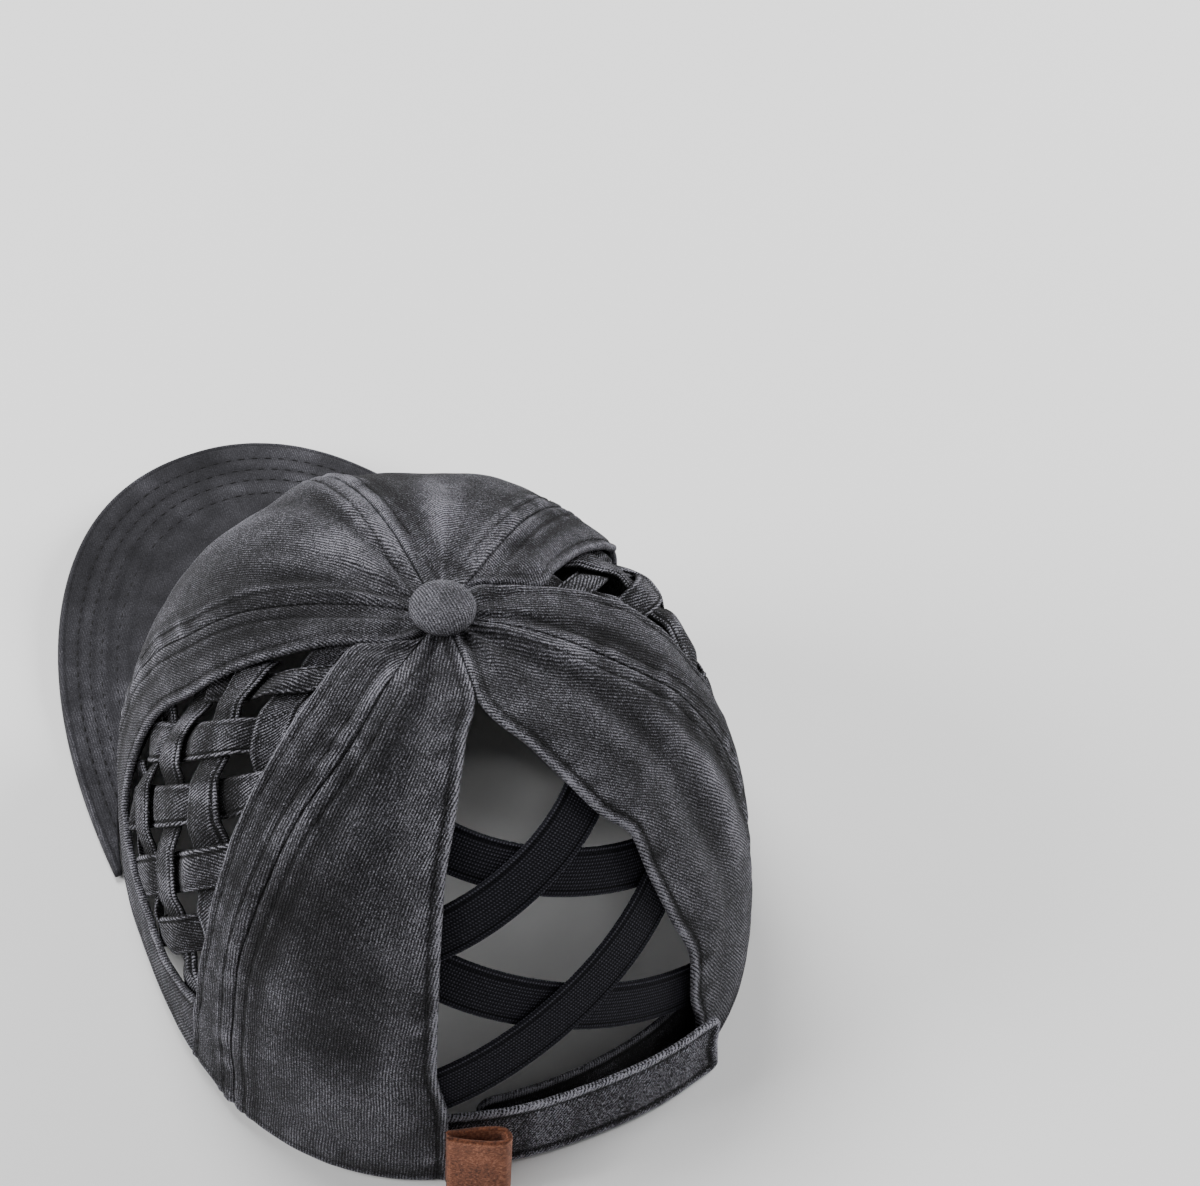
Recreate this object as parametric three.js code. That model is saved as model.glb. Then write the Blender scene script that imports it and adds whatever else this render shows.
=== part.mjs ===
// Ponytail baseball cap: washed cotton crown, woven open sides, hemmed back opening with
// crossing elastic bands, closing strap, leather loop, covered button and curved visor.
// Millimetres, +Z up. The wearer faces -Y and their left hand is at +X. The cap stands on z = 0.
// Places on the crown are given as "around" (degrees from the front towards the wearer's left)
// and "up" (degrees from the rim, 0, to the button, 90). "out" is measured off the cloth's face.
import * as THREE from 'three';

// Driving dimensions. A name that ends in Angle is in degrees.
const CROWN = { front: 98.4, back: 98.2, side: 88.2, tall: 111.2, topBack: 2.4 };
const DOME = { round: 0.686, roundFront: -0.091, climb: 1.071 };
const REST = { pitchAngle: 4.8, heel: 97 };
const CLOTH = { thick: 1.8, hemRaise: 0.5, gap: 0.3, topAngle: 89.45 };
const VISOR = {
  reach: 82.7, halfWidth: 80.8, middle: -3, rootY: -22.9, nose: 11.8, rise: 3.4, sag: 13.4,
  squareness: 0.882, thick: 2.8,
  seamLeftAngle: 66, seamRightAngle: 61, cornerLeftAngle: 86.3, cornerRightAngle: 82.5,
};
const BUTTON = { radius: 8.5, dome: 4.4, skirt: 1.6 };
// Widths and tucks of the woven strips are shares of the spacing of their rows.
const WEAVE = {
  acrossWide: 0.68, downWide: 0.66, acrossTuck: 0.22, downTuck: 0.26, flat: 0.37, thick: 1.1, ridge: 0.85,
  slack: 0.85, acrossSlope: 1.06, downSlope: -1.15, middleAngle: 90, face: -0.9, dive: 9, lip: 1.6,
};
const BAND = { wide: 13.6, thick: 1.2, tuck: 6 };
const STRAP = { tall: 23.5, thick: 2.0, fromAngle: 153, toAngle: 208.5 };
const TAPE = { tall: 24.5, thick: 1.4, fromAngle: 162, toAngle: 214, foot: 0.6 };
const TAG = { wide: 16, tall: 22.5, thick: 1.3, hemAngle: 156.8, base: 1.2, mouth: 4.2 };

// Layers, measured off the crown's face: each piece clears the one outside it.
const LAYER = {};
LAYER.overPanel = CLOTH.hemRaise + CLOTH.gap;
LAYER.underPanel = -CLOTH.thick - CLOTH.gap;
LAYER.outerBand = LAYER.underPanel - CLOTH.gap - BAND.thick / 2;
LAYER.innerBand = LAYER.outerBand - BAND.thick - CLOTH.gap;
LAYER.tape = LAYER.innerBand - BAND.thick / 2 - CLOTH.gap - TAPE.thick / 2;
LAYER.strapUnder = LAYER.underPanel - CLOTH.gap - STRAP.thick / 2;
LAYER.strapOver = LAYER.overPanel + STRAP.thick / 2;
LAYER.weaveSwing = (WEAVE.thick / 2 + WEAVE.ridge) / 2 + WEAVE.slack;
LAYER.weaveUnder = LAYER.underPanel - 1.5 * CLOTH.gap - LAYER.weaveSwing - WEAVE.ridge;

// Slow swelling of the crown's plan, as shares of its radius.
const SWELL = [
  { turns: 1, cosine: 0, sine: -0.028 }, { turns: 2, cosine: 0.018, sine: -0.018 },
  { turns: 3, cosine: 0.006, sine: 0.017 }, { turns: 4, cosine: -0.024, sine: 0.009 },
];
// Height of the rim over the floor, as shares of the height of the visor's nose.
const RIM = [
  { around: 0, high: 0.8 }, { around: 30, high: 0.58 }, { around: 50, high: 0.2 }, { around: 62, high: 0.02 },
  { around: 72, high: 0.02 }, { around: 90, high: 0.36 }, { around: 108, high: 0.44 },
  { around: 125, high: 0.27 }, { around: 142, high: 0.08 }, { around: 152, high: 0 }, { around: 180, high: 0 },
];
// Seams between the panels.
const SEAM_SIDE = [
  { up: 0, around: 50 }, { up: 30, around: 52.5 }, { up: 42, around: 55 }, { up: 55, around: 58 },
  { up: 90, around: 58 },
];
const SEAM_BACK = [
  { up: 0, around: 120 }, { up: 17, around: 118 }, { up: 33, around: 116.5 }, { up: 53, around: 117.5 },
  { up: 72, around: 121 }, { up: 90, around: 119 },
];
// Hems of the woven windows, left and right, and the line where the two strips cross over each other.
const WINDOW = {
  left: {
    front: [
      { up: 0, around: 66 }, { up: 20, around: 65.6 }, { up: 37, around: 67 }, { up: 50, around: 72.3 },
      { up: 66, around: 76.5 }, { up: 78, around: 82 }, { up: 82, around: 86.6 }, { up: 85, around: 96 },
      { up: 88, around: 113 }, { up: 90, around: 118 },
    ],
    back: [
      { up: 0, around: 108.4 }, { up: 21, around: 107.8 }, { up: 44, around: 105 }, { up: 59, around: 102.5 },
      { up: 71.5, around: 98 }, { up: 77, around: 93 }, { up: 82, around: 86.6 }, { up: 85, around: 96 },
      { up: 88, around: 113 }, { up: 90, around: 118 },
    ],
    top: 82, frontTop: 89.45, backTop: 87.6,
  },
  right: {
    front: [
      { up: 0, around: 66 }, { up: 20, around: 65.6 }, { up: 37, around: 67 }, { up: 50, around: 72.3 },
      { up: 66, around: 76.5 }, { up: 75, around: 82 }, { up: 79, around: 88.3 }, { up: 82, around: 84 },
      { up: 85, around: 76.5 }, { up: 86.8, around: 64 }, { up: 90, around: 58 },
    ],
    back: [
      { up: 0, around: 108.4 }, { up: 20, around: 107 }, { up: 43.5, around: 102.5 }, { up: 61, around: 97 },
      { up: 70, around: 93.5 }, { up: 79, around: 88.3 }, { up: 82, around: 84 }, { up: 85, around: 76.5 },
      { up: 86.8, around: 64 }, { up: 90, around: 58 },
    ],
    top: 79, frontTop: 86.4, backTop: 89.45,
  },
};
// Heights of the grid rows of both strips, shared so that their common line stays closed.
const STRIP_ROWS = [13, 20, 28, 36, 44, 52, 60, 67, 73, 76.5, 79, 82, 83.5, 85, 86.4, 87.6, 89.45];
// Upper edge of the fabric band under each window.
const SILL = [
  { around: 60, up: 14 }, { around: 66, up: 13 }, { around: 72, up: 10.6 }, { around: 80, up: 9.6 },
  { around: 94, up: 9.4 }, { around: 103, up: 11 }, { around: 109, up: 13 },
];
// Hems of the back opening; above the opening they meet in the centre back seam.
const OPENING_TOP = 80.3;
const OPENING = {
  left: [
    { up: 0, around: 157 }, { up: 15, around: 156.4 }, { up: 24, around: 154.2 }, { up: 42, around: 154 },
    { up: 53, around: 154.6 }, { up: 63, around: 157.5 }, { up: 74, around: 163.4 },
    { up: 80.3, around: 173.8 }, { up: 86, around: 176 }, { up: 90, around: 178 },
  ],
  right: [
    { up: 0, around: -153.6 }, { up: 10, around: -153.6 }, { up: 18, around: -154.6 },
    { up: 25, around: -153.4 }, { up: 34, around: -156 }, { up: 44, around: -157.4 },
    { up: 50, around: -157.2 }, { up: 56, around: -162.2 }, { up: 70, around: -172 },
    { up: 80.3, around: -186.2 }, { up: 86, around: -184 }, { up: 90, around: -182 },
  ],
};
// Soft folds and dents of the washed cloth; the depths are shares of its thickness.
const FOLDS = [
  { around: 141, up: 62, wide: 7, tall: 22, deep: -1.25 },
  { around: 133, up: 70, wide: 5, tall: 14, deep: 0.65 },
  { around: 138, up: 8, wide: 20, tall: 4, deep: -0.65 },
  { around: -139, up: 45, wide: 6, tall: 20, deep: -1.35 },
  { around: -146, up: 30, wide: 6, tall: 12, deep: 0.8 },
  { around: 20, up: 45, wide: 10, tall: 16, deep: -0.65 },
  { around: -25, up: 60, wide: 9, tall: 16, deep: -0.8 },
  { around: -110, up: 30, wide: 6, tall: 20, deep: 0.65 },
  { around: 30, up: 78, wide: 8, tall: 8, deep: -0.55 },
  { around: -147, up: 76, wide: 9, tall: 8, deep: -0.65 },
];
const PUCKER = { count: 14, deep: 0.28 };
// The woven strips' middle lines: "up" where each one crosses the middle of the window.
const ACROSS = [
  { row: 1, up: 73 },
  { row: 2, up: 55 },
  { row: 3, up: 39 },
  { row: 4, up: 22.3 },
  { row: 5, up: 8.6 },
];
const DOWN = [
  { row: 1, up: 70.5 },
  { row: 2, up: 47.5 },
  { row: 3, up: 27 },
  { row: 4, up: 10 },
  { row: 5, up: -8 },
];
// The four elastic bands, hem to hem.
const BANDS = [
  { name: 'band_outer_upper', fromAround: 195, fromUp: 59, toAround: 155, toUp: 45.6, out: LAYER.outerBand },
  { name: 'band_outer_lower', fromAround: 202, fromUp: 38.3, toAround: 156, toUp: 19.4, out: LAYER.outerBand },
  { name: 'band_inner_upper', fromAround: 157, fromUp: 58, toAround: 201, toUp: 45.5, out: LAYER.innerBand },
  { name: 'band_inner_lower', fromAround: 155, fromUp: 38, toAround: 205, toUp: 18.4, out: LAYER.innerBand },
];
// How far the closing strap has come from under the left panel (0) to over the right one (1).
const STRAP_RUN = [
  { around: 150, over: 0 }, { around: 158, over: 0 }, { around: 168, over: 0.2 }, { around: 184, over: 0.55 },
  { around: 198, over: 1 }, { around: 204, over: 1.2 }, { around: 210, over: 1.5 },
];

const rad = THREE.MathUtils.degToRad;
const deg = THREE.MathUtils.radToDeg;
const clamp = THREE.MathUtils.clamp;
const lerp = THREE.MathUtils.lerp;
const smooth = (x, a, b) => THREE.MathUtils.smoothstep(x, a, b);

// Smooth reading of a table between its rows.
function read(table, key, column, x) {
  const last = table.length - 1;
  if (x <= table[0][key]) return table[0][column];
  if (x >= table[last][key]) return table[last][column];
  let k = 0;
  while (table[k + 1][key] < x) k++;
  const slope = (i) => {
    if (i <= 0 || i >= last) return 0;
    const before = (table[i][column] - table[i - 1][column]) / (table[i][key] - table[i - 1][key]);
    const after = (table[i + 1][column] - table[i][column]) / (table[i + 1][key] - table[i][key]);
    return before * after <= 0 ? 0 : (2 * before * after) / (before + after);
  };
  const a = table[k], b = table[k + 1];
  const span = b[key] - a[key];
  const t = (x - a[key]) / span;
  const ends = a[column] * (1 + 2 * t) * (1 - t) ** 2 + b[column] * t * t * (3 - 2 * t);
  return ends + span * (slope(k) * t * (1 - t) ** 2 - slope(k + 1) * t * t * (1 - t));
}

// The crown's face at a place, standing on the floor.
// An angle brought to between half a turn back and half a turn on.
const halfTurn = (angle) => angle - 360 * Math.round(angle / 360);

function skin(around, up) {
  const phi = rad(around);
  const s = rad(clamp(up, 0, 90));
  const rho = Math.max(Math.cos(s), 1e-6) ** (DOME.round + DOME.roundFront * Math.cos(phi));
  const z = CROWN.tall * Math.sin(s) ** DOME.climb;
  const depth = Math.cos(phi) > 0 ? CROWN.front : CROWN.back;
  let swell = 0;
  for (const w of SWELL) swell += w.cosine * Math.cos(w.turns * phi) + w.sine * Math.sin(w.turns * phi);
  const grow = rho * (1 + swell * Math.cos(s));
  const x = CROWN.side * Math.sin(phi) * grow;
  const y = -depth * Math.cos(phi) * grow + CROWN.topBack * (z / CROWN.tall) ** 2;
  const tip = rad(REST.pitchAngle);
  const standY = REST.heel + (y - REST.heel) * Math.cos(tip) + z * Math.sin(tip);
  const standZ = z * Math.cos(tip) - (y - REST.heel) * Math.sin(tip);
  const foot = -(y - REST.heel) * Math.sin(tip);
  const rim = VISOR.nose * read(RIM, 'around', 'high', Math.abs(halfTurn(around)));
  const settle = up < 26 ? (1 - Math.max(up, 0) / 26) ** 2 : 0;
  return new THREE.Vector3(x, standY, standZ + (rim - foot) * settle);
}

function folds(around, up) {
  let sum = 0;
  for (const f of FOLDS) {
    const turn = halfTurn(around - f.around);
    sum += CLOTH.thick * f.deep * Math.exp(-((turn / f.wide) ** 2) - ((up - f.up) / f.tall) ** 2);
  }
  const fade = smooth(up, 70, 84) * (1 - smooth(up, 87, 89.5));
  const pucker = CLOTH.thick * PUCKER.deep * Math.cos(rad(around) * PUCKER.count) * fade;
  return sum * smooth(up, 1, 9) * (1 - smooth(up, 84, 88)) + pucker;
}

// A point off the crown's face.
function place(around, up, out) {
  const here = skin(around, up);
  const e = 0.05;
  const low = Math.min(up, 89.9 - e);
  const alongRim = skin(around + e, low).sub(skin(around - e, low));
  const alongRise = skin(around, low + e).sub(skin(around, Math.max(low - e, 0)));
  const normal = alongRim.cross(alongRise).normalize();
  if (up < 4) normal.z *= up / 4;
  return here.addScaledVector(normal.normalize(), out + folds(around, up));
}

const radiusAt = (around, up) => {
  const p = skin(around, up);
  const top = skin(around, 90);
  return Math.hypot(p.x - top.x, p.y - top.y);
};
// Rows bunched so that they stay evenly spaced over the top of the crown.
const riseTo = (share) => 90 - 90 * (1 - share) ** 1.458;
const shareOf = (up) => 1 - ((90 - up) / 90) ** (1 / 1.458);

// Closed body from two matching faces over a grid of cells.
function twoFaced(columns, rows, faces, present = () => true) {
  const positions = [];
  const index = new Map();
  const vertex = (i, j, face) => {
    const key = `${i},${j},${face}`;
    if (!index.has(key)) {
      index.set(key, positions.length / 3);
      const p = faces(i, j)[face];
      positions.push(p.x, p.y, p.z);
    }
    return index.get(key);
  };
  const cell = (i, j) => i >= 0 && j >= 0 && i < columns && j < rows && present(i, j);
  const triangles = [];
  const quad = (a, b, c, d) => triangles.push(a, b, c, a, c, d);
  for (let i = 0; i < columns; i++) {
    for (let j = 0; j < rows; j++) {
      if (!cell(i, j)) continue;
      const corner = (face) => [[i, j], [i + 1, j], [i + 1, j + 1], [i, j + 1]].map(([a, b]) => vertex(a, b, face));
      const [a, b, c, d] = corner(0);
      const [e, f, g, h] = corner(1);
      quad(a, b, c, d);
      quad(h, g, f, e);
      if (!cell(i, j - 1)) quad(e, f, b, a);
      if (!cell(i, j + 1)) quad(d, c, g, h);
      if (!cell(i - 1, j)) quad(e, a, d, h);
      if (!cell(i + 1, j)) quad(b, f, g, c);
    }
  }
  return solid(positions, triangles);
}

// Closed body swept through rings of points.
function ringed(rings) {
  const count = rings[0].length;
  const positions = rings.flat().flatMap((p) => [p.x, p.y, p.z]);
  const triangles = [];
  for (let r = 0; r + 1 < rings.length; r++) {
    for (let k = 0; k < count; k++) {
      const a = r * count + k, b = r * count + ((k + 1) % count);
      triangles.push(a, b, b + count, a, b + count, a + count);
    }
  }
  const end = (rings.length - 1) * count;
  for (let k = 1; k + 1 < count; k++) {
    triangles.push(0, k + 1, k);
    triangles.push(end, end + k, end + k + 1);
  }
  return solid(positions, triangles);
}

// Keeps every body's faces turned outwards.
function solid(positions, triangles) {
  let volume = 0;
  const p = (i) => new THREE.Vector3(positions[3 * i], positions[3 * i + 1], positions[3 * i + 2]);
  for (let t = 0; t < triangles.length; t += 3) {
    volume += p(triangles[t]).dot(p(triangles[t + 1]).cross(p(triangles[t + 2])));
  }
  if (volume < 0) {
    for (let t = 0; t < triangles.length; t += 3) {
      [triangles[t + 1], triangles[t + 2]] = [triangles[t + 2], triangles[t + 1]];
    }
  }
  const geometry = new THREE.BufferGeometry();
  geometry.setAttribute('position', new THREE.Float32BufferAttribute(positions, 3));
  geometry.setIndex(triangles);
  geometry.computeVertexNormals();
  return geometry;
}

// Half a gap off a seam, in degrees.
const inset = (around, up) => deg(CLOTH.gap / 2 / Math.max(radiusAt(around, up), 3));

function frontPanel(side) {
  const columns = 8, rows = 14;
  const end = shareOf(CLOTH.topAngle);
  return twoFaced(columns, rows, (i, j) => {
    const up = riseTo((end * j) / rows);
    const seam = read(SEAM_SIDE, 'up', 'around', up);
    const off = inset(side * seam, up);
    const around = side * lerp(off, seam - off, i / columns);
    return [place(around, up, 0), place(around, up, -CLOTH.thick)];
  });
}

function backPanel(side, hem) {
  const stops = [0, 5, 11, 18, 25, 32, 39, 46, 53, 60, 67, 74, OPENING_TOP, 85, 88, 89.45];
  const columns = 8;
  return twoFaced(columns, stops.length - 1, (i, j) => {
    const up = stops[j];
    const a = side * read(SEAM_BACK, 'up', 'around', up);
    const b = read(hem, 'up', 'around', up);
    const off = side * inset(a, up);
    const u = 1 - (1 - i / columns) ** 1.25;
    const around = lerp(a + off, b - off, u);
    const raise = i === columns && up < OPENING_TOP ? CLOTH.hemRaise : 0;
    return [place(around, up, raise), place(around, up, -CLOTH.thick)];
  });
}

function sideBack(side, hems) {
  const stops = [0, 6.5, ...STRIP_ROWS.filter((up) => up <= hems.backTop)];
  return twoFaced(3, stops.length - 1, (i, j) => {
    const up = stops[j];
    const a = read(hems.back, 'up', 'around', up), b = read(SEAM_BACK, 'up', 'around', up);
    const off = inset(side * a, up);
    const raise = i === 0 && up < 84 ? CLOTH.hemRaise : 0;
    const around = side * lerp(a + off, b - off, i / 3);
    return [place(around, up, raise), place(around, up, -CLOTH.thick)];
  });
}

// The strip in front of the window, with the band that runs on under the window.
function sideFront(side, hems) {
  const strip = 3, sill = 6, low = 2;
  const stops = STRIP_ROWS.filter((up) => up <= hems.frontTop);
  const rows = low + stops.length - 1;
  const seam = (up) => read(SEAM_SIDE, 'up', 'around', up);
  const hem = (up) => read(hems.front, 'up', 'around', up);
  const edge = (around) => read(SILL, 'around', 'up', around);
  const corner = hem(0);
  return twoFaced(strip + sill, rows, (i, j) => {
    let around, up;
    if (j <= low) {
      const far = read(hems.back, 'up', 'around', 0) - 0.2;
      const raw = i <= strip ? lerp(seam(0), corner, i / strip) : lerp(corner, far, (i - strip) / sill);
      up = (edge(Math.min(Math.max(raw, corner), far)) * j) / low;
      const a = seam(up), b = read(hems.back, 'up', 'around', up);
      around = i === 0 ? a + inset(side * a, up) : raw;
      if (i < strip && i > 0) around = lerp(a, corner, i / strip);
      if (i === strip + sill) around = b - inset(side * b, up);
    } else {
      up = stops[j - low];
      const a = seam(up), b = hem(up);
      const off = inset(side * a, up);
      around = lerp(a + off, b - off, i / strip);
    }
    const onHem = (i === strip && j >= low) || (i > strip && i < strip + sill && j === low);
    const raise = onHem && up < 84 ? CLOTH.hemRaise : 0;
    return [place(side * around, up, raise), place(side * around, up, -CLOTH.thick)];
  }, (i, j) => i < strip || j < low);
}

function button() {
  const profile = [
    { across: 0, high: 0 }, { across: 0.86, high: 0 }, { across: 0.97, high: 0.16 }, { across: 1, high: 0.34 },
    { across: 0.96, high: 0.56 }, { across: 0.84, high: 0.76 }, { across: 0.62, high: 0.91 },
    { across: 0.34, high: 0.985 }, { across: 0, high: 1 },
  ];
  const sides = 24;
  const tall = BUTTON.dome + BUTTON.skirt;
  const rings = profile.slice(1, -1).map((row) => Array.from({ length: sides }, (_, k) => {
    const turn = (k / sides) * 2 * Math.PI;
    const r = row.across * BUTTON.radius;
    return new THREE.Vector3(r * Math.sin(turn), r * Math.cos(turn), row.high * tall);
  }));
  const geometry = ringed(rings);
  geometry.rotateX(rad(-REST.pitchAngle));
  const top = skin(0, 90);
  geometry.translate(top.x, top.y, top.z + 0.75);
  return geometry;
}

const visorHeight = (x, y) => {
  const back = (y + CROWN.front + VISOR.reach) / (CROWN.front + VISOR.reach + VISOR.rootY);
  return VISOR.nose + VISOR.rise * back - VISOR.sag * ((x - VISOR.middle) / VISOR.halfWidth) ** 2;
};

function visor() {
  const columns = 30;
  const bands = [0, 0.12, 0.34, 0.56, 0.76, 0.9, 0.975, 1];
  return twoFaced(columns, bands.length - 1, (i, j) => {
    const u = (2 * i) / columns - 1;
    const root = skin(u * (u > 0 ? VISOR.seamLeftAngle : VISOR.seamRightAngle), 0);
    const outward = new THREE.Vector2(root.x, root.y * 0.8).normalize();
    root.x += outward.x * 2.6 * CLOTH.gap;
    root.y += outward.y * 2.6 * CLOTH.gap;
    const turn = rad(u * (u > 0 ? VISOR.cornerLeftAngle : VISOR.cornerRightAngle));
    const rimX = VISOR.middle + VISOR.halfWidth * Math.sign(u) * Math.abs(Math.sin(turn)) ** VISOR.squareness;
    const reach = CROWN.front + VISOR.reach + VISOR.rootY;
    const rimY = VISOR.rootY - reach * Math.cos(turn) ** VISOR.squareness;
    const x = lerp(root.x, rimX, bands[j]), y = lerp(root.y, rimY, bands[j]);
    const half = (VISOR.thick / 2) * (j === bands.length - 1 ? 0.55 : 1);
    const z = visorHeight(x, y);
    return [new THREE.Vector3(x, y, z + half), new THREE.Vector3(x, y, z - half)];
  });
}

// Millimetres to one degree up, and to one degree around at a height.
const upStep = (Math.PI / 2) * Math.hypot(CROWN.side, CROWN.tall) / Math.SQRT2 / 90;
const aroundStep = (up) => rad(1) * 0.88 * CROWN.side * Math.cos(rad(clamp(up, 0, 88))) ** DOME.round;

// A place on a flattened crown, in millimetres, for measuring how far inside the window it is.
const flatten = (around, up) => ({ x: (around - WEAVE.middleAngle) * aroundStep(up), y: up * upStep });

function windowOutline(hems) {
  const outline = [];
  const low = read(SILL, 'around', 'up', hems.front[0].around);
  for (let k = 0; k <= 20; k++) {
    const up = lerp(low, hems.top, k / 20);
    outline.push(flatten(read(hems.front, 'up', 'around', up), up));
  }
  const high = read(SILL, 'around', 'up', hems.back[0].around);
  for (let k = 1; k <= 20; k++) {
    const up = lerp(hems.top, high, k / 20);
    outline.push(flatten(read(hems.back, 'up', 'around', up), up));
  }
  for (let k = 1; k < 12; k++) {
    const around = lerp(hems.back[0].around, hems.front[0].around, k / 12);
    outline.push(flatten(around, read(SILL, 'around', 'up', around)));
  }
  return outline;
}

// Distance inside the outline (negative outside).
function inside(outline, around, up) {
  const p = flatten(around, up);
  let nearest = Infinity, within = false;
  outline.forEach((a, k) => {
    const b = outline[(k + 1) % outline.length];
    const dx = b.x - a.x, dy = b.y - a.y;
    const t = clamp(((p.x - a.x) * dx + (p.y - a.y) * dy) / (dx * dx + dy * dy || 1), 0, 1);
    nearest = Math.min(nearest, Math.hypot(p.x - a.x - t * dx, p.y - a.y - t * dy));
    if (a.y > p.y !== b.y > p.y && p.x < a.x + ((p.y - a.y) / dy) * dx) within = !within;
  });
  return within ? nearest : -nearest;
}

// Height of a row's middle line; fractions fall between rows.
function heightOf(table, row) {
  const k = clamp(Math.floor(row) - 1, 0, table.length - 2);
  return lerp(table[k].up, table[k + 1].up, row - table[k].row);
}

// Where a fractional row of one family meets a fractional row of the other.
function crossing(acrossRow, downRow) {
  const a = heightOf(ACROSS, acrossRow), d = heightOf(DOWN, downRow);
  const around = WEAVE.middleAngle + (d - a) / (WEAVE.acrossSlope - WEAVE.downSlope);
  return { around, up: a + WEAVE.acrossSlope * (around - WEAVE.middleAngle) };
}

function weaveStrip(side, outline, isAcross, row) {
  const meet = (own, other) => (isAcross ? crossing(own, other) : crossing(other, own));
  const within = (other) => { const m = meet(row, other); return inside(outline, m.around, m.up) > 0; };
  let first = null, final = null;
  for (let other = -0.5; other <= 6.5; other += 0.02) {
    if (!within(other)) continue;
    first ??= other;
    final = other;
  }
  const wide = isAcross ? WEAVE.acrossWide : WEAVE.downWide;
  const tuck = isAcross ? WEAVE.acrossTuck : WEAVE.downTuck;
  // Rings where the crossing strips begin and end, with more of them near both hems.
  const stops = [];
  for (let other = 0; other <= 7; other++) stops.push(other - WEAVE.flat, other + WEAVE.flat);
  const clear = stops.filter((stop) => stop > first - tuck + 0.05 && stop < final + tuck - 0.05);
  clear.push(first - tuck, final + tuck);
  for (const step of [0, 0.14, 0.28, 0.42]) {
    for (const extra of [first + step, final - step]) {
      if (clear.every((stop) => Math.abs(stop - extra) > 0.06)) clear.push(extra);
    }
  }
  clear.sort((p, q) => p - q);
  // Place over the strip's width and height over its middle; one long edge carries a folded ridge.
  const section = [
    { across: -0.5, high: -WEAVE.thick / 2 }, { across: 0.5, high: -WEAVE.thick / 2 },
    { across: 0.5, high: WEAVE.ridge * 0.8 }, { across: 0.38, high: WEAVE.ridge },
    { across: 0.26, high: WEAVE.thick / 2 }, { across: -0.5, high: WEAVE.thick / 2 },
  ];
  const sign = (row % 2 === 0 ? 1 : -1) * (isAcross ? 1 : -1);
  return ringed(clear.map((other) => section.map(({ across, high }) => {
    const { around, up } = meet(row + across * wide, other);
    const depth = inside(outline, around, up);
    const face = lerp(LAYER.weaveUnder, WEAVE.face, smooth(depth, WEAVE.lip, WEAVE.lip + WEAVE.dive));
    const over = sign * clamp(2.6 * Math.cos(Math.PI * other), -1, 1);
    return place(side * around, clamp(up, 1, 88), face + LAYER.weaveSwing * over + high);
  })));
}

// A flat strip laid over the crown between two places.
function band({ fromAround, fromUp, toAround, toUp, out }) {
  const segments = 16;
  const run = Math.hypot((toAround - fromAround) * aroundStep(0), (toUp - fromUp) * upStep);
  const extra = (BAND.tuck / run) * (toAround - fromAround);
  const slope = (toUp - fromUp) / (toAround - fromAround);
  return twoFaced(segments, 2, (i, j) => {
    const around = lerp(fromAround - extra, toAround + extra, i / segments);
    const up = fromUp + slope * (around - fromAround);
    const scaleAround = rad(radiusAt(around, up));
    const along = new THREE.Vector2(scaleAround, slope * upStep).normalize();
    const shift = (j / 2 - 0.5) * BAND.wide;
    const a = around - (along.y * shift) / scaleAround, s = up + (along.x * shift) / upStep;
    return [place(a, s, out + BAND.thick / 2), place(a, s, out - BAND.thick / 2)];
  });
}

// An upright strip along the rim, its foot on the floor.
function upright({ fromAngle, toAngle, tall, thick, outAt, foot }) {
  const segments = 18, levels = 3;
  return twoFaced(segments, levels, (i, j) => {
    const around = lerp(fromAngle, toAngle, i / segments);
    const low = skin(around, 0);
    const high = skin(around, 14);
    const share = (foot + ((tall - foot) * j) / levels - low.z) / (high.z - low.z);
    const middle = low.clone().lerp(high, share);
    const outward = place(around, 7, 1).sub(skin(around, 7)).setZ(0).normalize();
    const face = (sign) => middle.clone().addScaledVector(outward, outAt(around) + (sign * thick) / 2);
    return [face(1), face(-1)];
  });
}

function tag() {
  const low = skin(TAG.hemAngle, 0);
  const outward = place(TAG.hemAngle, 7, 1).sub(skin(TAG.hemAngle, 7)).setZ(0).normalize();
  const sideways = new THREE.Vector3(-outward.y, outward.x, 0);
  if (sideways.x > 0) sideways.negate();
  // The loop's middle line, sewn end to sewn end, in shares of its width and of its mouth.
  const near = LAYER.overPanel + TAG.thick / 2, sewn = TAG.thick + CLOTH.gap;
  const line = [
    { along: -0.04, out: 0 }, { along: 0.3, out: -0.05 }, { along: 0.64, out: -0.05 }, { along: 0.87, out: 0.08 },
    { along: 0.95, out: 0.4 }, { along: 0.96, out: 0.8 }, { along: 0.86, out: 1.12 }, { along: 0.62, out: 1.05 },
    { along: 0.28, out: 0.6 }, { along: -0.04, out: 0 },
  ].map((row, k, all) => ({
    along: row.along * TAG.wide,
    out: near + row.out * TAG.mouth + (k > all.length / 2 ? sewn * (1 - row.out) : 0),
  }));
  return twoFaced(line.length - 1, 1, (i, j) => {
    const a = line[Math.max(i - 1, 0)], b = line[Math.min(i + 1, line.length - 1)];
    const length = Math.hypot(b.along - a.along, b.out - a.out);
    const turnAlong = -(b.out - a.out) / length, turnOut = (b.along - a.along) / length;
    const z = TAG.base + j * TAG.tall;
    return [-0.5, 0.5].map((half) => low.clone().setZ(z)
      .addScaledVector(sideways, line[i].along + half * TAG.thick * turnAlong)
      .addScaledVector(outward, line[i].out + half * TAG.thick * turnOut));
  });
}

const FINISH = {
  cloth: { color: 0x4b4c50, roughness: 0.95 }, strip: { color: 0x45464a, roughness: 0.95 },
  pale: { color: 0x5e6066, roughness: 0.95 }, elastic: { color: 0x1b1b20, roughness: 0.8 },
  leather: { color: 0x7a4526, roughness: 0.85 }, tape: { color: 0x3a3b3f, roughness: 0.95 },
};

const cap = new THREE.Group();
cap.name = 'ponytail_cap';

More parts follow.
